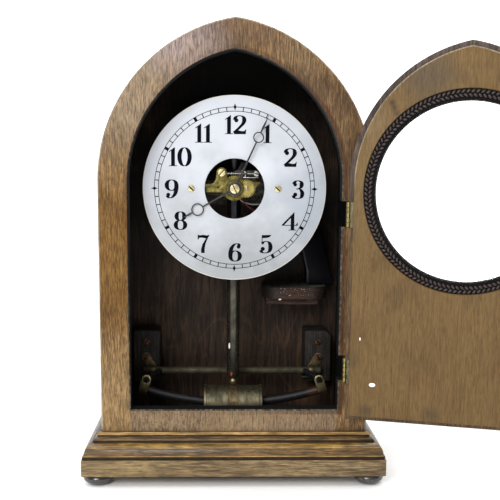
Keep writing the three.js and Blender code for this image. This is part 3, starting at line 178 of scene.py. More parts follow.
def wood(name, pale, mid, dark, pore, along="z", band=2.0, stretch=14, swirl=0.8, streak=1.1, contrast=0.3,
         tick=1.0, open_grain=0.5, rough=0.5, gloss=0.25, patches=(), coordinates="Object", covered_strip_shade="",
         lines=()):
    """Open-grained wood: bands along the grain, fine streaks, dark broken pores and a slow drift of tone."""
    material, add, shader = new_finish(name)
    place = add("TexCoord", out=coordinates)

    def grain(across, ratio, detail, wander=0.0):
        scale = [1 / MM] * 3
        scale["xyz".index(along)] /= ratio
        drawn = add("Mapping", {"Vector": place, "Scale": scale})
        return add("TexNoise", {"Vector": drawn, "Scale": 1 / across, "Detail": detail, "Roughness": 0.6,
                                "Distortion": wander})
    drift = add("TexNoise", {"Vector": place, "Scale": 1 / (34 * MM), "Detail": 4.0})
    bands = grain(band, stretch, 5.0, swirl)
    blend = add("Math", [drift, 0.55, bands], operation="MULTIPLY_ADD")
    colour = add("ValToRGB", [blend], stops=[(0.63, dark), (0.77, mid), (0.91, pale)])
    if lines:
        size, ratio, count, code, amount = lines
        level = add("Math", [grain(size, ratio, 1.5, 0.5), count * math.pi], operation="MULTIPLY")
        ripple = add("Math", [level], operation="SINE")
        line = add("MapRange", [ripple, 0.86, 1.0, 0.0, amount])
        colour = add("Mix", {0: line, 6: colour, 7: tint(code)}, 2, data_type="RGBA")
    colour = patched(add, place, drift, colour, patches)
    # Painted shade on the strip round the opening, strongest on the hinge side
    if covered_strip_shade:
        colour = lip_shade(add, place, drift, colour, covered_strip_shade)
    light = add("MapRange", [grain(streak, 9, 3.0, 0.4), 0.38, 0.62, 1 - contrast, 1 + contrast])
    colour = add("VectorMath", {0: colour, "Scale": light}, operation="SCALE")
    pores = add("MapRange", [grain(tick, 9, 2.0), 0.52, 0.68, 0.0, open_grain])
    colour = add("Mix", {0: pores, 6: colour, 7: tint(pore)}, 2, data_type="RGBA")
    dulled = add("Math", [pores, 0.3, rough], operation="MULTIPLY_ADD")
    relief = add("Math", [bands, pores], operation="SUBTRACT")
    bump = add("Bump", {"Height": relief, "Strength": 0.4, "Distance": 0.3 * MM})
    connect(shader, {"Base Color": colour, "Roughness": dulled, "Specular IOR Level": gloss, "Normal": bump})
    return material


def coated(name, main, second, rough=0.4, metallic=0.0, gloss=0.5, cell=2.0, share=0.5, patches=(),
           stretch=(1, 1, 1), bite=0.05):
    """Metal, paint or lacquer that mottles between two tones, duller and rougher in the second."""
    material, add, shader = new_finish(name)
    place = add("TexCoord", out="Object")
    drawn = add("Mapping", {"Vector": place, "Scale": stretch})
    stain = add("TexNoise", {"Vector": drawn, "Scale": 1 / (cell * MM), "Detail": 6.0, "Roughness": 0.65})
    colour = add("ValToRGB", [stain], stops=[(share - 0.12, second), (share + 0.12, main)])
    colour = patched(add, place, stain, colour, patches)
    dulled = add("MapRange", [stain, share - 0.2, share + 0.2, rough + 0.2, rough])
    grit = add("TexNoise", {"Vector": drawn, "Scale": 1 / (0.8 * MM), "Detail": 3.0})
    bump = add("Bump", {"Height": grit, "Strength": 0.3, "Distance": bite * MM})
    connect(shader, {"Base Color": colour, "Roughness": dulled, "Metallic": metallic,
                     "Specular IOR Level": gloss, "Normal": bump})
    return material


# Front frame: brown oak with dark pores, golden on the left stile; a grey painted sheen where the light falls
# on the left of the arch, and painted shade darkening its right
frame_oak = wood(
    "oak_front", "856944", "654c2f", "45311d", "3a2712", band=1.1, streak=0.8, tick=0.55, contrast=0.42,
    open_grain=0.45, gloss=0.2, covered_strip_shade="42250f",
    patches=[
        ((-82, -71, 325), 78, "83725d", 0.75),
        ((-45, -71, 365), 40, "857879", 0.7),
        ((8, -71, 384), 40, "5a4636", 0.6),
        ((-104, -71, 190), 95, "624100", 0.64),
        ((-104, -71, 60), 58, "8e744d", 0.6),
        ((96, -71, 300), 70, "503d27", 0.55),
        ((100, -71, 262), 26, "3b2b19", 0.55),
        ((58, -71, 364), 34, "7c6951", 0.32),
    ],
)
# Lower rail: a piece cut across a burr
rail_oak = wood(
    "oak_burr_rail", "846f52", "705b44", "584632", "37291d", band=4.5, stretch=2.2, swirl=2.6, tick=1.1,
    contrast=0.45, open_grain=0.4, covered_strip_shade="54402c", lines=(11, 1.6, 26, "4b3a2a", 0.6),
    patches=[((70, -71, 35), 60, "816c52", 0.4), ((5, -71, 35), 45, "8c7556", 0.5)],
)
# Edges rubbed pale by handling, and paler still as a painted highlight along the arrises
worn_highlight_oak = wood("oak_worn_edge_highlight", "a39684", "8b7d6a", "6e6150", "4f4336", band=3.0, open_grain=0.3)
# Sides: the same oak with its grain following the bend
side_oak = wood(
    "oak_bent_side", "7d6140", "624a2f", "47331f", "291c11", along="x", band=2.6, coordinates="UV",
)
# Base: the grain lies level, under a polish that has lasted best on the moulding
plinth_oak = wood(
    "oak_plinth", "8a7552", "6e5a3c", "524128", "2e2419", along="x", gloss=0.35,
    patches=[((-95, -87, 8), 60, "7f6a44", 0.5)],
)
moulding_oak = wood(
    "oak_moulding", "7a5c33", "5a4424", "3a2a17", "1f160d", along="x", band=1.6, rough=0.35, gloss=0.4,
)
# Side runs: the same oak painted darker and greyer, as painted shade with a grey painted sheen on faces seen
# at a slant
moulding_side_shaded_oak = wood(
    "oak_moulding_side_shaded", "67573f", "4c3f2d", "33291d", "1d1710", along="y", band=1.6, rough=0.3, gloss=0.5,
)
# Lighter lines along the moulding: painted highlights on the fronts of the fillets and on the ovolo's upward
# face
fillet_highlight_oak = wood("oak_fillet_highlight", "a88b5c", "8f7345", "6e552c", "4a341c", along="x", open_grain=0.3)
ovolo_highlight_oak = wood(
    "oak_ovolo_painted_highlight", "a58445", "866731", "5a431d", "33240d", along="x", rough=0.3, gloss=0.6,
)
# Painted shade in the moulding's quirks, together with the dirt that has gathered there
quirk_shade_and_dirt = coated("moulding_shade_and_dirt", "1f160f", "32261a", rough=0.7, gloss=0.2, cell=8)
# Inside of the door: drier, plainer wood with smudges near the lower hinge and along the foot, and darker
# patches by the bead
door_wood = wood(
    "door_inner_wood", "67502e", "604a29", "594325", "3a2a17", band=1.6, stretch=16, swirl=0.6, streak=0.9,
    tick=0.7, contrast=0.14, open_grain=0.3, rough=0.65,
    patches=[
        ((97.5, -95.3, 106), 9, "4a3a24", 0.5),
        ((108.2, -98.3, 61.8), 7, "3c3027", 0.55),
        ((159, -112.9, 61.8), 9, "3c3027", 0.5),
        ((121.9, -102.3, 311.5), 3.4, "2c2419", 0.7),
        ((123.6, -102.8, 307.5), 3.4, "2c2419", 0.7),
        ((125.3, -103.3, 303.5), 3.4, "2c2419", 0.6),
        ((148, -109.6, 332), 30, "4b4032", 0.75),
        ((120, -101.7, 186), 13, "46361d", 0.5),
        ((128.6, -104.1, 160), 15, "4a3920", 0.5),
        ((108, -98, 294), 20, "6f5c43", 0.5),
        ((105, -97, 250), 60, "6d5938", 0.5),
    ],
)
# Outside of the door polished like the case, its edges duller, its inner rim paler, its lip greyed
door_front_oak = wood("oak_door_front", "7d6140", "624a2f", "47331f", "291c11", band=1.6, tick=0.7)
door_edge_wood = wood("door_edge_wood", "6f5636", "5a4429", "44321d", "2b1f12", band=1.6, open_grain=0.4)
door_rim_wood = wood("door_pale_rim", "8d7d66", "776850", "5f523e", "45382a", open_grain=0.3)
lip_wood = wood("door_lip_wood", "57483e", "43372f", "2f2621", "1d1613", open_grain=0.4)
# Back board: dark brown stain over thin pale growth lines, made near black by painted shade at the top under
# the arch and behind the dial and the battery
shaded_board_wood = wood(
    "stained_back_board_painted_shade", "473528", "33261d", "241a14", "1a120d", band=5.0, swirl=1.6, rough=0.6,
    open_grain=0.3, contrast=0.15, lines=(55, 4.0, 22, "6a5030", 0.2),
    # Painted shade: the arch's shadow at the top, the dial's to either side and below it, and the dark round
    # the battery
    patches=[
        ((0, 64, 330), 120, "050404", 0.97),
        ((-85, 64, 236), 68, "0b0908", 0.9),
        ((66, 64, 222), 68, "050404", 0.97),
        ((50, 64, 170), 36, "050404", 0.95),
        ((-88, 64, 160), 40, "1a1411", 0.6),
    ],
)
board_back_wood = wood(
    "back_board_outside", "4b3a2c", "382a20", "281d16", "1a120d", band=5.0, swirl=1.6, rough=0.6,
    open_grain=0.3, contrast=0.15,
)
# Fittings inside: near-black blocks, a shelf that browns at one end, a browner cleat, and a paler shelf top
# that is painted light
block_wood = wood("stained_block", "332e2a", "25211d", "191613", "0c0a09", rough=0.6, open_grain=0.4)
shelf_wood = wood(
    "stained_shelf", "40362f", "2f2721", "1f1a16", "100c09", along="x", swirl=1.5, stretch=4,
    patches=[((57, 22, 142), 20, "4d3324", 0.7), ((29, 26, 143), 16, "262522", 0.7)],
)
cleat_wood = wood("stained_cleat", "4a3224", "332218", "22160f", "120b07", along="x", rough=0.6)
shelf_top_light = coated("shelf_top_painted_light", "74746c", "504f49", rough=0.7, gloss=0.2, cell=7)
# Flat black paint of the inside; along the opening's right and lower arris, pale chips and a painted
# highlight, with patches darkening the arris on the left and round the arch as painted shade
inside_black = coated("inside_black", "060606", "0b0a09", rough=0.8, gloss=0.2, cell=12)
arris_chips_and_highlight = coated(
    "arris_chips_and_highlight", "756d60", "352f27", rough=0.6, gloss=0.15, cell=3, share=0.58,
    patches=[
        ((-95, -71, 200), 130, "171614", 1.0),
        ((-30, -71, 350), 75, "1c1a18", 1.0),
        ((66, -71, 322), 75, "2b2a27", 1.0),
    ],
)
# Glossy black feet worn to brown in places, and a dark bead over a black bed whose black also paints the
# shadow round the bead
ebonised = coated("ebonised_foot", "1e2024", "5a4434", rough=0.16, gloss=0.8, cell=5, share=0.4)
bead_stain = coated("stained_bead", "332621", "1f1614", rough=0.3, cell=3)
bead_bed_black_and_shade = coated("bead_bed", "080809", "100e0d", rough=0.7, gloss=0.1, cell=3)
# Brass in several states of ageing, from the bright screws to the streaked bobbin and its brown strap; the
# pale patches low on the bobbin's front are a painted reflection
brass = coated("aged_brass", "c4b58a", "8f825c", rough=0.3, metallic=1.0, cell=3)
plate_brass = coated("plate_brass", "756b3b", "4f4827", rough=0.35, metallic=1.0, cell=4)
wheel_brass = coated("wheel_brass", "a5955a", "7d703f", rough=0.3, metallic=1.0, cell=4)
bright_brass = coated("bright_brass", "dcd2a8", "b3a473", rough=0.18, metallic=1.0)
dull_brass = coated("dull_brass", "6e6650", "4a4538", rough=0.42, metallic=1.0, cell=6)
bobbin_brass_with_reflection = coated(
    "streaked_brass_painted_reflection", "736c54", "464333", rough=0.36, metallic=0.8, cell=6, stretch=(1, 1, 0.3),
    # Painted reflection of the pale rail and floor on the bobbin's lower front
    patches=[((-16, -14, 30), 14, "a59a70", 0.75), ((17, -14, 30), 12, "a59a70", 0.7)],
)
strap_brass = coated("brown_strap", "6f5f41", "4b4130", rough=0.4, metallic=0.8, cell=4)
# Small screws, reddish on the blocks and brown elsewhere, and the dark floors of slots, which in the tooth
# gaps are painted shade
copper = coated("copper_screw", "735242", "4f392d", rough=0.45, metallic=1.0)
browned_steel_and_shade = coated("browned_screw_and_painted_shade", "45423c", "2b2926", rough=0.35, metallic=1.0)
dark_slot_and_gap_shade = coated("dark_slot_and_gap_shade", "14110d", "241d15", rough=0.7, gloss=0.1)
# Steel: blued hands, greyed bars, a near-black rod that keeps one thin line of light, bright arbors
blued_steel = coated("blued_steel", "35353b", "47423d", rough=0.25, metallic=1.0, cell=3)
crossbar_steel = coated("greyed_bar", "5b5543", "433f33", rough=0.6, metallic=0.5, gloss=0.3, cell=9)
arm_steel = coated("grey_arm", "36383c", "26272a", rough=0.45, metallic=0.7, cell=4)
rod_steel = coated("browned_rod", "4c483d", "312e27", rough=0.17, metallic=0.65, cell=9)
black_sleeve = coated("black_sleeve", "0b0b0c", "141313", rough=0.25, gloss=0.4, cell=6)
bright_steel = coated("bright_steel", "c9c9c6", "8f8c86", rough=0.2, metallic=1.0, cell=3)
# Black enamel of the magnet, pitted and rusted near its right end
magnet_enamel = coated(
    "magnet_enamel", "101012", "1f1b1d", rough=0.35, gloss=0.35, bite=0.25,
    patches=[((76, 0, 50), 8, "4a3020", 0.8)],
)
# Battery wrapped in black with a painted reflection along one front edge, and its cloth-covered leads
battery_black = coated("battery_case", "07070b", "0c0c12", gloss=0.08, cell=8)
battery_edge_reflection = coated("battery_edge_painted_reflection", "1f202a", "131319", rough=0.35, gloss=0.3, cell=5)
pale_lead = coated("pale_lead_cover", "a9a8a2", "7d7a72", rough=0.6, cell=1.2)
red_lead = coated("red_lead_cover", "6a1b1a", "431212", rough=0.6, cell=1.2)
# Print and small marks: matt blue-black figures, bare white chips, one dab of red on the rod
ink = coated("dial_ink", "07080e", "0c0e16", rough=0.7, gloss=0.05)
chip_white = coated("bare_chip", "fbfaf7", "e8e5de", rough=0.7)
mark_red = coated("red_mark", "a8322a", "8a2a24", rough=0.6)


def silvered_dial():
    """Cool silvering with painted shade that greys it towards the foot and the right, with a cream line at
    its rim.
    """
    material, add, shader = new_finish("silvered_dial")
    place = add("TexCoord", out="Object")
    radial = add("Mapping", {"Vector": place, "Location": (0, 0, -DIAL_Z * MM), "Scale": (1, 0, 1)})
    reach = add("VectorMath", [radial], "Value", operation="LENGTH")
    cloud = add("TexNoise", {"Vector": place, "Scale": 1 / (22 * MM), "Detail": 6.0})
    colour = add("ValToRGB", [cloud], stops=[(0.3, "c0c4cb"), (0.7, "c6cad1")])
    # Painted shade: darker below the dial's middle and greyer to the right
    foot, right = (8, DIAL_FACE, DIAL_Z - 95), (75, DIAL_FACE, DIAL_Z - 10)
    colour = patched(add, place, cloud, colour, [(foot, 115, "94989a", 0.9), (right, 60, "a3aab4", 0.6)])
    rim = add("MapRange", [reach, (DIAL_RADIUS - 0.8) * MM, (DIAL_RADIUS - 0.5) * MM])
    colour = add("Mix", {0: rim, 6: colour, 7: tint("d2cec2")}, 2, data_type="RGBA")
    connect(shader, {"Base Color": colour, "Roughness": 0.6})
    return material


def window_glass():
    """Clear old pane with a faint green cast."""
    material, add, shader = new_finish("window_glass")
    place = add("TexCoord", out="Object")
    wave = add("TexNoise", {"Vector": place, "Scale": 1 / (60 * MM), "Detail": 1.0})
    colour = add("ValToRGB", [wave], stops=[(0.4, "fbfdfc"), (0.6, "ffffff")])
    connect(shader, {"Base Color": colour, "Roughness": 0.02, "Transmission Weight": 1.0, "IOR": 1.45})
    return material


dial_silver = silvered_dial()
pane_glass = window_glass()


# Shapes: each returns points in millimetres and faces

def merge(*shapes):
    points, faces = [], []
    for more_points, more_faces in shapes:
        faces += [[index + len(points) for index in face] for face in more_faces]
        points += more_points
    return points, faces


def moved(shape, matrix):
    points, faces = shape
    return [tuple(matrix @ Vector(point)) for point in points], faces


def skin(rings, around=True):
    """Skin over rings of equally many points; around joins last to first, else both ends are capped."""
    count = len(rings[0])
    points = [point for ring in rings for point in ring]
    faces = []
    for k in range(len(rings) if around else len(rings) - 1):
        a, b = k * count, (k + 1) % len(rings) * count
        for i in range(count):
            j = (i + 1) % count
            faces.append([a + i, a + j, b + j, b + i])
    if not around:
        faces.append(list(range(count)))
        faces.append(list(range(len(points) - count, len(points))))
    return points, faces


def turned(profile, axis, centre, steps=64):
    """Profile of (radius, height) pairs turned about an axis through a centre."""
    rings = []
    for radius, height in profile:
        ring = []
        for i in range(steps):
            angle = 2 * math.pi * i / steps
            a, b = radius * math.cos(angle), radius * math.sin(angle)
            local = {"x": (height, a, b), "y": (a, height, b), "z": (a, b, height)}[axis]
            ring.append(tuple(c + o for c, o in zip(local, centre)))
        rings.append(ring)
    hollow = profile[0] == profile[-1]
    return skin(rings[:-1] if hollow else rings, around=hollow)


def disc(radius, low, high, ease, axis, centre, steps=32):
    """Solid disc or pin with rounded rims between two heights on an axis."""
    turns = [math.radians(angle) for angle in (0, 30, 60, 90)]
    profile = [(radius - ease + ease * math.sin(t), low + ease - ease * math.cos(t)) for t in turns]
    profile += [(radius - ease + ease * math.cos(t), high - ease + ease * math.sin(t)) for t in turns]
    return turned(profile, axis, centre, steps)


def pip(sides=10):
    """Small round lump, to be scaled."""
    turns = [math.pi * k / 8 for k in range(1, 8)]
    return turned([(math.sin(t), -math.cos(t)) for t in turns], "z", (0, 0, 0), sides)


def tube(path, radius, sides):
    """Round rod along a path of points."""
    path = [Vector(point) for point in path]
    rings, side = [], None
    for k, point in enumerate(path):
        ahead = (path[min(k + 1, len(path) - 1)] - path[max(k - 1, 0)]).normalized()
        side = side or ahead.orthogonal()
        side = (side - ahead * side.dot(ahead)).normalized()
        up = ahead.cross(side)
        turns = [2 * math.pi * i / sides for i in range(sides)]
        rings.append([tuple(point + (side * math.cos(t) + up * math.sin(t)) * radius) for t in turns])
    return skin(rings, around=False)


def brick(low, high):
    points = [(x, y, z) for x in (low[0], high[0]) for y in (low[1], high[1]) for z in (low[2], high[2])]
    return points, [[0, 1, 3, 2], [4, 6, 7, 5], [0, 4, 5, 1], [2, 3, 7, 6], [0, 2, 6, 4], [1, 5, 7, 3]]


def filled(loops, thickness, ease):
    """Flat solid over closed loops, holes included, with rounded rims, centred on its own plane."""
    curve = bpy.data.curves.new("outline", "CURVE")
    curve.dimensions = "2D"
    curve.fill_mode = "BOTH"
    curve.extrude = thickness / 2 - ease
    curve.bevel_depth = ease
    curve.bevel_resolution = 2
    curve.offset = -ease
    for loop in loops:
        spline = curve.splines.new("POLY")
        spline.points.add(len(loop) - 1)
        for point, (u, v) in zip(spline.points, loop):
            point.co = (u, v, 0, 1)
        spline.use_cyclic_u = True
    holder = bpy.data.objects.new("outline", curve)
    mesh = bpy.data.meshes.new_from_object(holder)
    points = [tuple(vertex.co) for vertex in mesh.vertices]
    faces = [list(polygon.vertices) for polygon in mesh.polygons]
    bpy.data.objects.remove(holder)
    bpy.data.curves.remove(curve)
    bpy.data.meshes.remove(mesh)
    return points, faces


def plate(loops, front, back, ease=0.0):
    """Flat solid in the XZ plane between two depths."""
    points, faces = filled(loops, back - front, ease)
    middle = (front + back) / 2
    return [(u, middle - w, v) for u, v, w in points], faces


def tile(loops, low, high, ease=0.0):
    """Flat solid in the XY plane between two heights."""
    points, faces = filled(loops, high - low, ease)
    middle = (low + high) / 2
    return [(u, v, middle + w) for u, v, w in points], faces


# Loops: closed runs of flat points

def oblong(left, low, right, high):
    return [(left, low), (right, low), (right, high), (left, high)]


def arc(x, z, radius, start, end, steps=12):
    turns = [math.radians(start + (end - start) * i / steps) for i in range(steps + 1)]
    return [(x + radius * math.cos(t), z + radius * math.sin(t)) for t in turns]


def circle(x, z, radius, steps):
    return arc(x, z, radius, 0, 360, steps)[:-1]


def ellipse(x, z, a, b, steps):
    return [(x + a * u, z + b * v) for u, v in circle(0, 0, 1, steps)]


def mirrored(loop, side):
    return [(side * x, z) for x, z in loop]


def lancet(half, foot, base_steps=1, side_steps=1, arc_steps=48):
    """Pointed arch on a level foot, from the left foot corner and counter-clockwise."""
    radius = half + ARCH_OFFSET
    apex = math.degrees(math.acos(ARCH_OFFSET / radius))
    rise = ARCH_SPRING - foot
    foot_line = [(-half + 2 * half * i / base_steps, foot) for i in range(base_steps)]
    right = [(half, foot + rise * i / side_steps) for i in range(side_steps)]
    right += arc(-ARCH_OFFSET, ARCH_SPRING, radius, 0, apex, arc_steps)
    return foot_line + right + mirrored(right[-2:0:-1], -1)


def inside_lancet(x, z, half):
    if z < ARCH_SPRING:
        return abs(x) <= half
    return math.hypot(abs(x) + ARCH_OFFSET, z - ARCH_SPRING) <= half + ARCH_OFFSET


# Pieces

def placed(name, data):
    """An object in the scene that holds a mesh, a lamp or a camera."""
    made = bpy.data.objects.new(name, data)
    bpy.context.scene.collection.objects.link(made)
    return made


def mesh_of(name, shape):
    points, faces = shape
    mesh = bpy.data.meshes.new(name)
    mesh.from_pydata([tuple(c * MM for c in point) for point in points], [], faces)
    return mesh


def piece(name, shape, finish, node=None, ride=None, ease=0.0, sharp=35, lengths=None):
    """A mesh piece in the row frame that rides on a body and may stand for a CAD node."""
    mesh = mesh_of(name, shape)
    if lengths:
        layer = mesh.uv_layers.new(name="Grain")
        for loop in mesh.loops:
            layer.data[loop.index].uv = [c * MM for c in lengths[loop.vertex_index]]
    made = bmesh.new()
    made.from_mesh(mesh)
    bmesh.ops.remove_doubles(made, verts=made.verts, dist=0.002 * MM)
    bmesh.ops.recalc_face_normals(made, faces=made.faces)
    limit = math.radians(sharp)
    if ease:
        crisp = [e for e in made.edges if len(e.link_faces) == 2 and e.calc_face_angle(0) > limit]
        bmesh.ops.bevel(made, geom=crisp, offset=ease * MM, segments=2, profile=0.5, affect="EDGES",
                        clamp_overlap=True)
    for face in made.faces:
        face.smooth = True
    for edge in made.edges:
        edge.smooth = len(edge.link_faces) == 2 and edge.calc_face_angle(0) < limit
    made.to_mesh(mesh)
    made.free()
    mesh.materials.append(finish)
    shown = placed(name, mesh)
    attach(shown, ride or body_of[node])
    if node:
        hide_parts(node)
    return shown


def dressed(node, finish, ease=0.3, sharp=35):
    """The CAD node's own shape with its edges eased."""
    source = frame["nodes"][node].data
    points = [tuple(vertex.co / MM) for vertex in source.vertices]
    mesh = bpy.data.meshes.new("flat")
    mesh.from_pydata(points, [], [list(polygon.vertices) for polygon in source.polygons])
    made = bmesh.new()
    made.from_mesh(mesh)
    bmesh.ops.remove_doubles(made, verts=made.verts, dist=0.002)
    bmesh.ops.dissolve_limit(made, angle_limit=math.radians(1), verts=made.verts, edges=made.edges)
    made.verts.index_update()
    shape = [tuple(v.co) for v in made.verts], [[v.index for v in face.verts] for face in made.faces]
    made.free()
    bpy.data.meshes.remove(mesh)
    return piece(node + "_shown", shape, finish, node=node, ease=ease, sharp=sharp)


def cut_out(shown, shapes):
    """Takes solid shapes out of a piece."""
    mesh = mesh_of("cutter", merge(*shapes))
    made = bmesh.new()
    made.from_mesh(mesh)
    bmesh.ops.recalc_face_normals(made, faces=made.faces)
    made.to_mesh(mesh)
    made.free()
    cutter = placed("cutter", mesh)
    step = shown.modifiers.new("recess", "BOOLEAN")
    step.operation = "DIFFERENCE"
    step.solver = "EXACT"
    step.use_self = True
    step.object = cutter
    depsgraph = bpy.context.evaluated_depsgraph_get()
    done = bpy.data.meshes.new_from_object(shown.evaluated_get(depsgraph))
    shown.modifiers.clear()
    shown.data = done
    bpy.data.objects.remove(cutter)
    bpy.data.meshes.remove(mesh)


def second_finish(shown, finish, wanted):
    """Gives another finish to the faces that a rule picks by a face's middle in mm and its normal."""
    shown.data.materials.append(finish)
    for polygon in shown.data.polygons:
        if wanted(polygon.center / MM, polygon.normal):
            polygon.material_index = len(shown.data.materials) - 1


def slotted_screw(node, seat, slot_degrees, finish, slot=0.9, height=None):
    """Screw head that faces the front: a thin disc, two rounded half moons and a darkened slot between them.
    """
    low, high = span(node)
    x, _, z = centre_of(node)
    radius, height = (high.x - low.x) / 2, height or seat - low.y
    half_angle = math.degrees(math.asin(slot / 2 / radius))
    moon = arc(0, 0, radius, half_angle, 180 - half_angle, 24)
    crown = plate([moon], -height, -height * 0.4, min(0.35, height * 0.25))
    turn = Matrix.Rotation(math.radians(slot_degrees), 4, "Y")
    flip = Matrix.Rotation(math.pi, 4, "Y")
    spot = Matrix.Translation((x, seat, z))
    floor = disc(radius, seat - height * 0.45, seat, 0.1, "y", (x, 0, z))
    head = merge(floor, moved(crown, spot @ turn), moved(crown, spot @ turn @ flip))
    shown = piece(node + "_head", head, finish, node=node)
    second_finish(shown, dark_slot_and_gap_shade, lambda c, n: n.y < -0.9 and c.y > seat - 0.6 * height)


def build_base():
    """Plinth rim, floor panel, mitred mouldings and bun feet."""
    half_x, half_y = base_high.x, base_high.y
    foot, top = base_high.z - 2.0, span("base_moulding_front")[1].z + 1.6
    rim_width, corner = 30, 1.5

    def rounded(inset, r):
        x, y = half_x - inset - r, half_y - inset - r
        corners = [(x, y, 0), (-x, y, 90), (-x, -y, 180), (x, -y, 270)]
        return [point for cx, cy, start in corners for point in arc(cx, cy, r, start, start + 90, 4)]
    inner = rounded(rim_width, 1.0)
    bed = oblong(-BODY_HALF, frame_low.y, BODY_HALF, half_y - SEAT)
    rim = tile([rounded(0, corner), inner], 0, foot, 0.8)
    stepped = merge(rim, tile([bed, inner], foot - 1, base_high.z))
    piece("plinth", stepped, plinth_oak, node="plinth_rim")
    dressed("floor_panel", shaded_board_wood, 0.5)

    p, h = 16.0, top - foot

    def bend(a, b, c):
        return [tuple((1 - t) ** 2 * a[i] + 2 * t * (1 - t) * b[i] + t * t * c[i] for i in (0, 1))
                for t in (k / 10 for k in range(11))]
    section = [(SEAT, SEAT), (0.93 * p, SEAT), (0.93 * p, 0.14 * h), (0.88 * p, 0.17 * h)]
    section += bend((0.85 * p, 0.17 * h), (0.84 * p, 0.52 * h), (0.46 * p, 0.6 * h))
    section += [(0.38 * p, 0.6 * h)]
    section += bend((0.38 * p, 0.7 * h), (0.32 * p, 0.78 * h), (0.2 * p, 0.8 * h))
    section += [(0.17 * p, 0.88 * h), (0.22 * p, 0.88 * h), (0.22 * p, h), (SEAT, h)]
    gap = SEAT / 2
    quirks = ((-0.01, 0.135), (0.595, 0.69), (0.81, 0.885))
    ovolo = ((0.46, 0.605),)
    fillets = ((0.135, 0.175), (0.885, 1.01))

    def within(bands, c):
        return any(low <= (c.z - foot) / h <= high for low, high in bands)

    def moulding(name, ends, finish):
        shown = piece(f"moulding_{name}", skin(ends, around=False), finish, node=f"base_moulding_{name}",
                      ease=0.45)
        # Painted shade with dirt in the quirks
        second_finish(shown, quirk_shade_and_dirt, lambda c, n: within(quirks, c))
        # Painted highlights: the ovolo's upward face and the fillets' fronts
        second_finish(shown, ovolo_highlight_oak, lambda c, n: within(ovolo, c) and n.z > 0.45 and n.y < -0.1)
        second_finish(shown, fillet_highlight_oak, lambda c, n: within(fillets, c) and n.z < 0.95 and n.y < -0.1)
        second_finish(shown, worn_highlight_oak, lambda c, n: within(fillets, c) and n.z < 0.95 and abs(n.x) > 0.5)
    ends = [[(side * (BODY_HALF + d - gap), frame_low.y - d, foot + z) for d, z in section]
            for side in (-1, 1)]
    moulding("front", ends, moulding_oak)
    for name, side in SIDES:
        near = [(side * (BODY_HALF + d), frame_low.y - d + gap, foot + z) for d, z in section]
        far = [(side * (BODY_HALF + d), half_y, foot + z) for d, z in section]
        moulding(name, [near, far], moulding_side_shaded_oak)

    for place in ("front_left", "front_right", "rear_left", "rear_right"):
        low, high = span(f"foot_{place}")
        x, y, _ = centre_of(f"foot_{place}")
        radius, pad, waist = high.x - x + 0.3, 5.5, high.z - 3.2
        last = math.acos(pad / radius)
        depth = (waist - low.z) / math.sin(last)
        first = math.asin((high.z - waist) / depth)
        turns = [(first + last) * k / 15 - last for k in range(16)]
        bun = [(radius * math.cos(t), waist + depth * math.sin(t)) for t in turns]
        piece(f"bun_foot_{place}", turned(bun, "z", (x, y, 0)), ebonised, node=f"foot_{place}", sharp=50)


def build_case():
    """Front frame with its hinge notches, bent sides and back board."""
    opening = lancet(OPENING_HALF, RAIL_TOP)
    notch = HINGE.x + 1.5
    cuts = []
    for low, high in reversed(HINGE_BEDS):
        cuts += [(OPENING_HALF, low), (notch - 1, low), (notch, low + 1)]
        cuts += [(notch, high - 1), (notch - 1, high), (OPENING_HALF, high)]
    opening = opening[:2] + cuts + opening[2:]
    outline = lancet(BODY_HALF, frame_low.z)
    front = piece("front_frame", plate([outline, opening], frame_low.y, frame_high.y, 1.2), frame_oak,
                  node="case_front_frame")

    def at_opening(c):
        notched = any(low.z - 1 < c.z < high.z + 1 for low, high in HINGE_SPANS.values())
        return inside_lancet(c.x, c.z, OPENING_HALF + 1.2) or notched and HINGE.x - 5 < c.x < notch + 0.1
    # Painted highlight, with wear, on the frame's rounded outer edge
    second_finish(front, worn_highlight_oak, lambda c, n: not inside_lancet(c.x, c.z, BODY_HALF - 1.3) and n.y < -0.15)
    # Painted highlight with chips on the opening's arris
    second_finish(front, arris_chips_and_highlight, lambda c, n: at_opening(c) and -0.97 < n.y <= -0.2)
    second_finish(front, inside_black, lambda c, n: at_opening(c) and n.y > -0.2)
    face, half = frame_low.y - 0.03, OPENING_HALF - 0.3
    rail = plate([oblong(-half, frame_low.z + 16, half, RAIL_TOP - 1.1)], face, face + 0.08)
    piece("burr_rail", rail, rail_oak, ride="case")

    start, end = frame_high.y + SEAT, base_high.y

    def bow(half):
        radius = half + ARCH_OFFSET
        apex = math.degrees(math.acos((ARCH_OFFSET + SEAT / 2) / radius))
        upright = [(half, frame_low.z + (ARCH_SPRING - frame_low.z) * i / 8) for i in range(8)]
        return upright + arc(-ARCH_OFFSET, ARCH_SPRING, radius, 0, apex, 48)
    outer, inner = bow(BODY_HALF), bow(BODY_HALF - SIDE_THICKNESS)
    for name, side in SIDES:
        rings, lengths, run = [], [], 0.0
        for k, ((ox, oz), (ix, iz)) in enumerate(zip(outer, inner)):
            run += math.dist((ox, oz), outer[max(k - 1, 0)])
            corners = [(ox, start, oz), (ox, end, oz), (ix, end, iz), (ix, start, iz)]
            rings.append([(side * x, y, z) for x, y, z in corners])
            lengths += [(run, y) for _, y, _ in corners]
        shown = piece(f"bent_side_{name}", skin(rings, around=False), side_oak, node=f"case_{name}_side",
                      ease=0.7, sharp=60, lengths=lengths)
        second_finish(shown, inside_black,
                      lambda c, n: inside_lancet(c.x, c.z, BODY_HALF - SIDE_THICKNESS / 2) and abs(n.y) < 0.5)

    low, high = span("back_board")
    panel = plate([lancet(high.x, low.z)], low.y, high.y, 0.4)
    shown = piece("back_panel", panel, shaded_board_wood, node="back_board")
    second_finish(shown, board_back_wood, lambda c, n: n.y > 0.5)


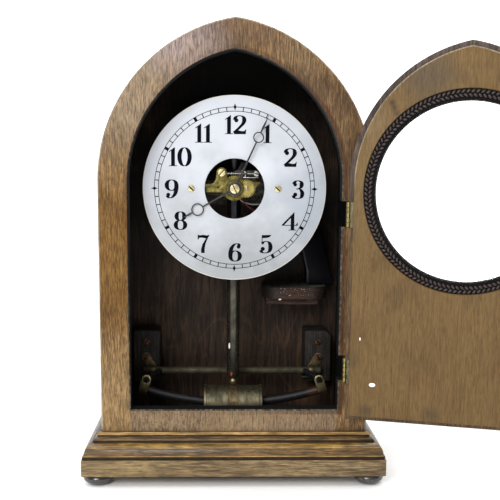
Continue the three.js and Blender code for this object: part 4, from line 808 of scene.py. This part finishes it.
def build_door():
    """Lipped door with its round light, pane, twisted bead and hinge leaves, swung open."""
    def lip(inset):
        return lancet(LIP_HALF - inset, LIP_FOOT + inset, 40, 40, 60)

    def field(inset):
        return lancet(FIELD_HALF - inset, FIELD_FOOT + inset, 40, 40, 60)

    def light(radius):
        turns = [math.atan2(z - DIAL_Z, x) for x, z in lip(0)]
        return [(radius * math.cos(t), DIAL_Z + radius * math.sin(t)) for t in turns]
    stack = [
        (light(SIGHT), DOOR_FRONT + 0.6), (light(SIGHT + 0.6), DOOR_FRONT),
        (lip(1.2), DOOR_FRONT), (lip(0.35), DOOR_FRONT + 0.35), (lip(0), DOOR_FRONT + 1.2),
        (lip(0), DOOR_BACK - 0.5), (lip(0.5), DOOR_BACK),
        (field(0), DOOR_BACK), (field(0), FIELD_BACK - 1.0),
        (field(0.3), FIELD_BACK - 0.3), (field(1.0), FIELD_BACK),
        (light(REBATE + 0.5), FIELD_BACK), (light(REBATE), FIELD_BACK - 0.5),
        (light(REBATE), GLASS_FRONT), (light(SIGHT), GLASS_FRONT),
    ]
    rings = [[(x, y, z) for x, z in points] for points, y in stack]
    panel = piece("door_leaf", moved(skin(rings), SWUNG), door_wood, node="door_panel")
    recesses = []
    for low, high in HINGE_BEDS:
        for x, y in ((HINGE.x - 3.7, DOOR_FRONT - 1), (FIELD_HALF, DOOR_BACK - 1.5)):
            recesses.append(moved(brick((x, y, low), (LIP_HALF + 1, DOOR_BACK + SEAT, high)), SWUNG))
    cut_out(panel, recesses)

    def on_lip(c):
        x, _, z = UNSWUNG @ c
        return not inside_lancet(x, z, FIELD_HALF - 0.1) or z < FIELD_FOOT + 0.1

    def on_rim(c):
        x, _, z = UNSWUNG @ c
        return z > ARCH_SPRING and not on_lip(c) and not inside_lancet(x, z, FIELD_HALF - 0.95)
    hinge_top = HINGE_SPANS["upper"][1].z
    second_finish(panel, door_edge_wood, lambda c, n: on_lip(c))
    second_finish(panel, lip_wood, lambda c, n: on_lip(c) and (c.z > hinge_top or n.z < -0.5))
    second_finish(panel, door_rim_wood, lambda c, n: on_rim(c))
    second_finish(panel, door_front_oak, lambda c, n: (UNSWUNG.to_3x3() @ n).y < -0.5)
    chips = []
    for spot, wide, tall in (((113.1, -99.8, 83.5), 5.2, 3.3), ((102.6, -96.7, 121.6), 1.0, 2.8)):
        x, _, z = UNSWUNG @ Vector(spot)
        chips.append(plate([ellipse(x, z, wide / 2, tall / 2, 24)], FIELD_BACK - 0.05, FIELD_BACK + 0.03))
    piece("door_chips", moved(merge(*chips), SWUNG), chip_white, ride="door")

    axis = (0, 0, DIAL_Z)
    pane = 2.5
    glass = disc(REBATE - SEAT, GLASS_FRONT + SEAT, GLASS_FRONT + SEAT + pane, 0.3, "y", axis, 128)
    piece("window_pane", moved(glass, SWUNG), pane_glass, node="door_glass")

    inner, outer = SIGHT + SEAT, REBATE - SEAT
    middle, half = (inner + outer) / 2, (outer - inner) / 2
    foot, edge = GLASS_FRONT + pane + 2 * SEAT, FIELD_BACK - 0.4
    bed = [(inner, foot), (outer, foot), (outer, edge), (middle, FIELD_BACK + 0.5), (inner, edge),
           (inner, foot)]
    piece("bead_bed", moved(turned(bed, "y", axis, 128), SWUNG), bead_bed_black_and_shade, node="glass_bead")
    lobes, count = [], 132
    for k in range(2 * count):
        row = 1 if k % 2 else -1
        turn = Matrix.Rotation(-math.pi * k / count, 4, "Y")
        seat = Matrix.Translation((middle + 0.8 + row * half * 0.36, FIELD_BACK + 0.3, 0))
        lean = Matrix.Rotation(row * math.radians(38), 4, "Y")
        size = Matrix.Diagonal((1.1, 1.5, 2.1, 1))
        lobes.append(moved(pip(8), Matrix.Translation(axis) @ turn @ seat @ lean @ size))
    piece("plaited_bead", moved(merge(*lobes), SWUNG), bead_stain, ride="door", sharp=70)

    def barrel(radius, low, high, ease, steps):
        return disc(radius, low, high, ease, "z", (HINGE.x, HINGE.y, 0), steps)

    def at_pin(c, _):
        return (c.xy - HINGE.xy).length < knuckle_radius + 0.1
    leaf_gauge, knuckle_radius = 1.2, 1.9
    leaf_front, leaf_end = HINGE.y + 2.2, HINGE.x - 2.2
    web = [(leaf_end - leaf_gauge, DOOR_BACK), (leaf_end - leaf_gauge, DOOR_BACK - leaf_gauge),
           (HINGE.x - leaf_gauge, HINGE.y), (HINGE.x, HINGE.y + leaf_gauge), (leaf_end, DOOR_BACK)]
    for name, (leaf_low, leaf_high) in HINGE_SPANS.items():
        low, high = leaf_low.z, leaf_high.z
        knuckle = (high - low) / 5
        spans = [(low + k * knuckle + 0.15, low + (k + 1) * knuckle - 0.15) for k in range(5)]
        leaf = [brick((HINGE.x, leaf_front, low), (HINGE.x + leaf_gauge, HINGE.y + 16, high))]
        leaf += [barrel(0.8, low, high, 0.1, 16)]
        for a, b in spans[::2]:
            leaf += [barrel(knuckle_radius, a, b, 0.25, 24)]
            leaf += [brick((HINGE.x, HINGE.y, a), (HINGE.x + leaf_gauge, leaf_front + 1, b))]
        on_frame = piece(f"hinge_{name}_on_frame", merge(*leaf), dull_brass, node=f"hinge_frame_leaf_{name}",
                         ease=0.15)
        leaf = [brick((FIELD_HALF + SEAT, DOOR_BACK - leaf_gauge, low), (leaf_end, DOOR_BACK, high))]
        for a, b in spans[1::2]:
            leaf += [barrel(knuckle_radius, a, b, 0.25, 24), tile([web], a, b)]
        on_door = piece(f"hinge_{name}_on_door", moved(merge(*leaf), SWUNG), dull_brass,
                        node=f"hinge_door_leaf_{name}", ease=0.15)
        for half_hinge in (on_frame, on_door):
            second_finish(half_hinge, wheel_brass, at_pin)


# Dial figures: high-contrast numerals on a body 100 high, drawn by a pen that swells on upright strokes
HAIR, STEM, BODY = 4.2, 22.0, 100


def penned(path, closed=False):
    """Outline pieces of a smooth stroke whose width grows as it turns upright."""
    def near(points, k):
        return points[k % len(points) if closed else min(max(k, 0), len(points) - 1)]
    knots = [Vector(point) for point in path]
    smooth = []
    for k in range(len(knots) if closed else len(knots) - 1):
        a, b, c, d = (near(knots, k + i) for i in (-1, 0, 1, 2))
        for t in (i / 8 for i in range(8)):
            smooth.append(0.5 * (2 * b + (c - a) * t + (2 * a - 5 * b + 4 * c - d) * t * t
                                 + (3 * b - a - 3 * c + d) * t ** 3))
    if not closed:
        smooth.append(knots[-1])
    left, right = [], []
    for k, point in enumerate(smooth):
        ahead = (near(smooth, k + 1) - near(smooth, k - 1)).normalized()
        half = (HAIR + (STEM - HAIR) * ahead.y ** 2) / 2
        normal = Vector((-ahead.y, ahead.x)) * half
        left.append(tuple(point + normal))
        right.append(tuple(point - normal))
    return [left, right] if closed else [left + right[::-1]]


def oval(x, z, a, b):
    return penned(ellipse(x, z, a, b, 16), True)


def figures():
    """Each digit as its width and the closed shapes that make it up."""
    def ball(x, z, r):
        return [circle(x, z, r, 20)]
    six = [oval(36, 30, 25, 28.3), penned([(60, 84), (50, 97), (34, 95), (18, 76), (11, 48), (11, 30)]),
           ball(54, 81, 10)]
    return {
        "0": (72, [oval(36, 50, 26.5, 48.3)]),
        "1": (42, [[[(11, 0), (31, 0), (31, 100), (28, 100), (0, 79), (1, 75), (11, 81)]],
                   [oblong(0, 0, 42, 4)]]),
        "2": (66, [penned([(6, 74), (13, 91), (31, 98), (49, 91), (55, 73), (47, 54), (28, 33), (10, 15),
                           (4, 6)]),
                   ball(14, 74, 11),
                   [[(2, 0), (63, 0), (66, 27), (63, 27), (57, 18), (44, 16), (26, 20), (10, 15), (2, 6)]]]),
        "3": (62, [penned([(6, 78), (14, 93), (29, 98), (43, 91), (47, 77), (42, 62), (28, 54), (19, 53)]),
                   penned([(22, 54), (40, 50), (51, 30), (45, 9), (28, 1.8), (11, 6), (5, 20)]),
                   ball(13, 77, 9.5), ball(14, 23, 11)]),
        "4": (86, [[[(67, 100), (1, 30), (2, 26), (16, 31), (66, 87)]], [oblong(1, 26, 86, 30)],
                   [[(49, 0), (68, 0), (68, 100), (66, 100), (49, 80)]], [oblong(38, 0, 79, 4)],
                   [[(75, 29), (86, 29), (86, 45)]]]),
        "5": (66, [[[(8, 100), (60, 101), (50, 89), (34, 84), (11, 83)]], [oblong(8, 50, 12, 100)],
                   penned([(9, 52), (20, 62), (35, 65), (49, 56), (55, 35), (49, 12), (31, 1.8), (12, 5),
                           (5, 18)]),
                   ball(14, 24, 11)]),
        "6": (70, six),
        "7": (66, [[[(2, 74), (6, 74), (10, 84), (26, 84), (46, 80), (64, 96), (64, 100), (50, 97), (32, 100),
                     (12, 97), (6, 100), (2, 100)]],
                   [[(60, 97), (65, 100), (52, 74), (43, 50), (39, 24), (39, 0), (20, 0), (20, 22), (27, 48),
                     (42, 74)]]]),
        "8": (68, [oval(34, 75, 20, 23.3), oval(34, 27, 24.5, 25.3)]),
        "9": (70, [[[(70 - x, BODY - z) for x, z in loop] for loop in part] for part in six]),
    }


def build_dial():
    """Silvered plate, its printed figures and minute track, its screws and the hands."""
    ring = [circle(0, DIAL_Z, DIAL_RADIUS, 160), circle(0, DIAL_Z, DIAL_HOLE, 96)]
    piece("dial", plate(ring, DIAL_FACE, dial_high.y, 0.3), dial_silver, node="dial_plate")
    digits = figures()
    tall, wide, hour_radius, space = 16.0 / BODY, 16.6 / BODY, 55.2, 3
    layers = []
    for hour in range(1, 13):
        turn = math.radians(90 - 30 * hour)
        x0, z0 = 0.6 + hour_radius * math.cos(turn), DIAL_Z - 0.5 + hour_radius * math.sin(turn)
        text = str(hour)
        left = -(sum(digits[digit][0] for digit in text) + space * (len(text) - 1)) / 2
        for digit in text:
            width, parts = digits[digit]
            for part in parts:
                layers.append([[(x0 + (left + x) * wide, z0 + (z - BODY / 2) * tall) for x, z in loop]
                               for loop in part])
            left += width + space
    inner, outer, half_line = 66.2, 69.7, 0.27
    for line in (inner, outer):
        layers.append([circle(0, DIAL_Z, line + half_line, 180), circle(0, DIAL_Z, line - half_line, 180)])
    quarter = [(0, 3.1), (0.75, 0.95), (1.6, 0)]
    star = quarter + [(x, -r) for x, r in quarter[1::-1]]
    star += mirrored(star[-2:0:-1], -1)
    for minute in range(60):
        half = 1.3 if minute % 5 == 0 else 0.38
        turn = math.radians(6 * minute)
        across, out = Vector((math.cos(turn), -math.sin(turn))), Vector((math.sin(turn), math.cos(turn)))
        mark = oblong(-half, inner, half, outer)
        if minute % 15 == 0:
            mark = [(x, outer + r) for x, r in star]
        layers.append([[tuple(Vector((0, DIAL_Z)) + across * a + out * r) for a, r in mark]])
    proud, step = 0.05, 0.0004
    prints = [plate(loops, DIAL_FACE - proud - step * k, DIAL_FACE + 0.1) for k, loops in enumerate(layers)]
    piece("dial_figures", merge(*prints), ink, ride="case")
    slotted_screw("dial_screw_left", DIAL_FACE, 45, bright_brass)
    slotted_screw("dial_screw_right", DIAL_FACE, 45, bright_brass)

    # Each hand: its length, the ring's place and radius, the radii of hub and bore, degrees past twelve
    hands = (("minute_hand", 68.6, 48.4, 4.7, 5.9, 1.8, 24.8),
             ("hour_hand", 51.7, 37.0, 5.5, 4.3, 3.0, 240.5))
    wide, waist, tip = 0.95, 0.62, 0.15
    for name, length, ring_at, ring_radius, hub, bore, degrees in hands:
        low, high = span(name)
        barbs = ring_at + ring_radius + 0.3 * (length - ring_at - ring_radius)
        side = arc(0, 0, hub, -90, math.degrees(math.acos(wide / hub)), 24)
        neck = math.degrees(math.acos(waist / ring_radius))
        side += arc(0, ring_at, ring_radius, -neck, neck, 24) + [(wide, barbs), (tip, length)]
        outline = side + mirrored(side[:0:-1], -1)
        loops = [outline, circle(0, 0, bore, 24), circle(0, ring_at, ring_radius - 1.0, 32)]
        turn = Matrix.Translation((0, 0, DIAL_Z)) @ Matrix.Rotation(math.radians(degrees), 4, "Y")
        piece(name + "_shown", moved(plate(loops, low.y, high.y, 0.15), turn), blued_steel, node=name)
    slotted_screw("hand_screw", span("minute_hand")[0].y, 65, bright_brass, 0.6)


def build_movement():
    """Plates, wheels and levers behind the dial's open centre."""
    plate_front, ear_front, stud_x = -24.0, -22.3, 10.5
    front_plate = dressed("movement_front_plate", plate_brass, 0.2)
    second_finish(front_plate, bright_steel, lambda c, n: c.y < plate_front - 0.5 and n.y < -0.2
                  and math.hypot(c.x - stud_x, c.z - DIAL_Z) < 1.3)
    # Painted shade: the back plate takes the dark browned finish to stand for the shadowed space behind the
    # movement
    dressed("movement_back_plate", browned_steel_and_shade, 0.2)
    dressed("centre_arbor", plate_brass, 0.08)
    # Each wheel: its finish, place across, teeth and root radius
    wheels = (("minute_wheel", wheel_brass, stud_x, 36, 7.44), ("hour_wheel", plate_brass, 0.0, 40, 7.96))
    for node, finish, x, teeth, root in wheels:
        wheel = dressed(node, finish, 0.08)
        low, high = span(node)
        web = high.y - 0.2
        notch = [(root + 0.1, 0.36), (root - 1.0, 0.2), (root - 1.0, -0.2), (root + 0.1, -0.36)]
        gap = skin([[(r, y, w) for r, w in notch] for y in (low.y - 1, web)], around=False)
        hub = Matrix.Translation((x, 0, DIAL_Z))
        turns = [Matrix.Rotation(-2 * math.pi * k / teeth, 4, "Y") for k in range(teeth)]
        cut_out(wheel, [moved(gap, hub @ turn) for turn in turns])
        # Painted shade on the floors of the tooth gaps
        second_finish(wheel, dark_slot_and_gap_shade, lambda c, n: n.y < -0.9 and c.y > web - 0.05)
    dressed("worm_arbor", bright_steel, 0.0, 50)
    dressed("contact_spring", bright_steel, 0.1, 50)
    dressed("drive_lever", arm_steel, 0.15)
    # Painted shade, as for the back plate
    dressed("movement_bracket", browned_steel_and_shade, 0.4)
    dressed("suspension_cock", browned_steel_and_shade, 0.4)
    slotted_screw("lug_screw", plate_front, -45, bright_brass, 0.7)
    slotted_screw("ear_screw", ear_front, 20, bright_steel, 0.35)


def build_pendulum():
    """Rod with its sleeve, rating nut and bobbin."""
    low = span("pendulum_rod")[0]
    nut_low, nut_high = (corner.z for corner in span("rating_nut"))
    axis = (0, PENDULUM_Y, 0)
    stem, thick, sleeve_thick = 1.5, 5.9, 6.2
    top, pin_z = PIVOT_Z - 7, 198.5
    shoulder, sleeve = nut_high + SEAT, top - 107
    rod = [(stem, low.z), (stem, shoulder), (3.8, shoulder), (5.4, shoulder + 2.2), (thick, shoulder + 4),
           (thick, sleeve), (6.0, sleeve), (sleeve_thick, sleeve + 0.3), (sleeve_thick, top - 0.4),
           (5.8, top)]
    spring = brick((-0.15, PENDULUM_Y - 5, top - 1), (0.15, PENDULUM_Y + 5, PIVOT_Z))
    pin = disc(1.2, low.y, PENDULUM_Y, 0.2, "y", (0, 0, pin_z), 24)
    shown = piece("pendulum_rod_shown", merge(turned(rod, "z", axis, 48), spring, pin), rod_steel,
                  node="pendulum_rod")
    second_finish(shown, black_sleeve, lambda c, n: c.z > sleeve - 0.1)
    bore, waist, belly = 1.8, 3.3, 3.6
    nut = [(bore, nut_low), (bore + 0.1, nut_low), (waist, nut_low + 1.6), (belly, nut_low + 2.4),
           (belly, nut_high - 2.4), (waist, nut_high - 1.6), (bore + 0.1, nut_high), (bore, nut_high),
           (bore, nut_low)]
    piece("rating_nut_shown", turned(nut, "z", axis, 48), brass, node="rating_nut")

    half, outer, wound, bore, strap, cheek = 27.2, 17.2, 16.3, 7.2, 4.7, 2.6

    def rim(a, b):
        flat = outer - 0.3
        return [(wound, a), (flat, a), (outer, a + 0.3), (outer, b - 0.3), (flat, b), (wound, b)]
    profile = [(bore, -half), *rim(-half, -half + cheek)[1:], *rim(-strap, strap),
               *rim(half - cheek, half)[:-1], (bore, half), (bore, -half)]
    bobbin = turned(profile, "x", (0, PENDULUM_Y, BOBBIN_Z), 96)
    shown = piece("bobbin", bobbin, bobbin_brass_with_reflection, node="pendulum_bobbin")
    second_finish(shown, strap_brass, lambda c, n: abs(c.x) < strap)

    dabs = (("rod_chip", -3.6, 96, 3.0, chip_white), ("rod_mark", -1.6, 69.3, 2.0, mark_red))
    for name, x, z, tall, finish in dabs:
        y = PENDULUM_Y - math.sqrt(thick ** 2 - x * x)
        turn = Matrix.Rotation(math.atan2(-x, PENDULUM_Y - y), 4, "Z")
        spot = Matrix.Translation((x, y, z)) @ turn.inverted() @ Matrix.Diagonal((1.0, 0.2, tall, 1))
        piece(name, moved(pip(), spot), finish, ride="pendulum", sharp=70)


def build_magnet():
    """Curved bar magnet with its clips, crossbar, blocks and screws."""
    length = PIVOT_Z - BOBBIN_Z
    magnet_half, clip_x, clip_reach = 87, 84, 10.5
    span_angle, clip_angle = math.asin(magnet_half / length), math.asin(clip_x / length)
    turns = [span_angle * (2 * k / 64 - 1) for k in range(65)]
    path = [(length * math.sin(t), PENDULUM_Y, PIVOT_Z - length * math.cos(t)) for t in turns]
    piece("bar_magnet", tube(path, 4.2, 24), magnet_enamel, node="curved_magnet", ease=0.4, sharp=50)

    bar_y, bar_z, bar_half = 29.05, 65.4, span("magnet_crossbar")[1].x
    clip_z = PIVOT_Z - length * math.cos(clip_angle)
    tab_x, _, tab_z = centre_of("magnet_clip_screw_right")
    tab_front = PENDULUM_Y - 5.7
    pad_front = tab_front + 1.5
    bar = [disc(3.35, -bar_half, bar_half, 0.4, "x", (0, bar_y, bar_z))]
    for side in (1, -1):
        arm = [(side * (bar_half - 16.3), bar_y, bar_z), (side * tab_x, pad_front + 2.2, tab_z)]
        bar.append(tube(arm, 2.6, 24))
        bar.append(disc(3.5, pad_front, pad_front + 4.5, 0.3, "y", (side * tab_x, 0, tab_z)))
    crossbar = piece("crossbar", merge(*bar), crossbar_steel, node="magnet_crossbar")
    second_finish(crossbar, arm_steel, lambda c, n: c.y < bar_y - 3.5)

    def capsule(x0, z0, x1, z1, radius):
        lean = math.degrees(math.atan2(z1 - z0, x1 - x0))
        return arc(x1, z1, radius, lean - 90, lean + 90, 16) + arc(x0, z0, radius, lean + 90, lean + 270, 16)

    def wrap(inner, outer, half, centre):
        profile = [(inner, -half), (outer, -half), (outer, half), (inner, half), (inner, -half)]
        return turned(profile, "x", centre, 32)
    screw_x, _, strap_z = centre_of("crossbar_clip_screw_right")
    wrap_x, strap_y = bar_half - 9.0, bar_y + 3.65
    for name, side in SIDES:
        block_low, block_high = span(f"magnet_block_{name}")
        inner, outer = sorted((abs(block_low.x), abs(block_high.x)))
        low, high = block_low.z, block_high.z
        if name == "right":
            top = [(outer, high - 4.6), (outer - 4.6, high)] + arc(inner + 2, high - 2, 2, 90, 180, 6)
        else:
            top = arc(outer - 3, high - 3, 3, 0, 90, 8) + arc(inner + 3, high - 3, 3, 90, 180, 8)
        outline = mirrored([(inner, low), (outer, low)] + top, side)
        piece(f"block_{name}", plate([outline], block_low.y, block_high.y, 0.9), block_wood,
              node=f"magnet_block_{name}")
        turn = Matrix.Translation((side * clip_x, PENDULUM_Y, clip_z))
        turn = turn @ Matrix.Rotation(-side * clip_angle, 4, "Y")
        tab = plate([capsule(0, 3.5, 0, clip_reach, 4.4)], -5.7, -4.5, 0.2)
        clip = moved(merge(wrap(4.5, 5.7, 4, (0, 0, 0)), tab), turn)
        piece(f"magnet_clip_{name}_shown", clip, brass, node=f"magnet_clip_{name}", ease=0.15)
        strap = mirrored(capsule(wrap_x, bar_z, screw_x, strap_z, 4.4), side)
        strap = plate([strap], strap_y, bar_y + 4.85, 0.2)
        clip = merge(wrap(3.65, 4.85, 2.2, (side * wrap_x, bar_y, bar_z)), strap)
        piece(f"crossbar_clip_{name}_shown", clip, strap_brass, node=f"crossbar_clip_{name}", ease=0.15)
        screws = (("block", block_low.y, copper), ("crossbar_clip", strap_y, copper),
                  ("magnet_clip", tab_front, browned_steel_and_shade))
        for kind, seat, finish in screws:
            slotted_screw(f"{kind}_screw_{name}", seat, side * 55, finish, height=2.0)
    face = span("magnet_block_right")[0].y
    peg = disc(1.5, 67.5, 80.5, 0.6, "x", (0, face - 1.45, 57.7), 24)
    piece("block_peg", peg, shelf_wood, ride="case")


def build_battery():
    """Shelf with its rounded front, leaning battery and the two leads."""
    low, high = span("battery_shelf")
    corner, under = 16.0, high.z - 12.5
    left, right, front = low.x + corner, high.x - corner, low.y + corner
    outline = [(low.x, high.y)] + arc(left, front, corner, 180, 270, 16)
    outline += arc(right, front, corner, 270, 360, 16) + [(high.x, high.y)]
    cleat = brick((low.x + 3, high.y - 36, low.z), (high.x - 9, high.y, low.z + 6))
    shelf = merge(tile([outline], under, high.z, 1.4), cleat)
    shown = piece("shelf", shelf, shelf_wood, node="battery_shelf")
    second_finish(shown, cleat_wood, lambda c, n: c.z < under - 0.1)
    # Painted light: the shelf's top is made paler where the dial's shade would leave it dark
    second_finish(shown, shelf_top_light, lambda c, n: c.z > high.z - 1 and n.z > 0.8)

    def speck(x, drop, wide, tall):
        spot = Matrix.Translation((x, low.y + 0.1, high.z - drop))
        return moved(pip(), spot @ Matrix.Diagonal((wide, 0.3, tall, 1)))
    chance = random.Random(5)
    specks = [speck(44.8, 12.0, 1.4, 0.9)]
    for _ in range(26):
        drop = 1.6 + 7 * chance.random() ** 2
        size = 0.16 + 0.22 * chance.random() ** 2
        specks.append(speck(left + (right - left) * chance.random(), drop, size, size))
    piece("shelf_speck", merge(*specks), chip_white, ride="case", sharp=70)
    battery = dressed("battery", battery_black, 2.0)
    # Painted reflection on the battery's front-left edge
    second_finish(battery, battery_edge_reflection, lambda c, n: n.x < -0.25 and n.y < -0.25)
    for node, finish in (("lead_pale", pale_lead), ("lead_red", red_lead)):
        dressed(node, finish, 0.0, 180)


def build_studio():
    """Pale floor, soft key from the upper left and the photograph's viewpoint."""
    far, level = 6.0, span("foot_front_left")[0].z * MM
    mesh = bpy.data.meshes.new("floor")
    mesh.from_pydata([(x, y, level) for x, y in oblong(-far, -far, far, far)], [], [[0, 1, 2, 3]])
    floor = placed("floor", mesh)
    material, _, shader = new_finish("pale_floor")
    connect(shader, {"Base Color": tint("ffffff"), "Roughness": 0.8})
    mesh.materials.append(material)

    world = bpy.data.worlds.new("studio")
    world.use_nodes = True
    add = partial(new_node, world.node_tree)
    direction = add("TexCoord", out="Generated")
    depth = add("VectorMath", [direction, (0.0, 1.0, 0.8)], "Value", operation="DOT_PRODUCT")
    glow = add("MapRange", [depth, -0.2, 0.3, 0.46, 1.8])
    connect(world.node_tree.nodes["Background"], {"Color": (1, 1, 1, 1), "Strength": glow})
    bpy.context.scene.world = world

    target = Vector((0, 0, DIAL_Z)) * MM
    lamp = bpy.data.lights.new("key", "AREA")
    lamp.shape = "DISK"
    lamp.size = 0.8
    lamp.energy = 19.5
    key = placed("key", lamp)
    key.location = (-0.55, -1.55, 0.95)
    key.rotation_euler = (target - key.location).to_track_quat("-Z", "Y").to_euler()

    lens = bpy.data.cameras.new("camera")
    lens.lens = 62.68
    lens.sensor_width = 36.0
    lens.shift_x, lens.shift_y = 0.0158, 0.0935
    camera = placed("camera", lens)
    yaw, pitch, roll = (math.radians(angle) for angle in (-1.59, 90 - 8.61, 0.39))
    aim = Matrix.Rotation(yaw, 4, "Z") @ Matrix.Rotation(pitch, 4, "X") @ Matrix.Rotation(roll, 4, "Z")
    camera.matrix_world = Matrix.Translation((-0.01404, -0.79656, 0.26251)) @ aim
    bpy.context.scene.camera = camera
    bpy.context.scene.view_settings.view_transform = "Standard"


build_base()
build_case()
build_door()
build_dial()
build_movement()
build_pendulum()
build_magnet()
build_battery()
build_studio()
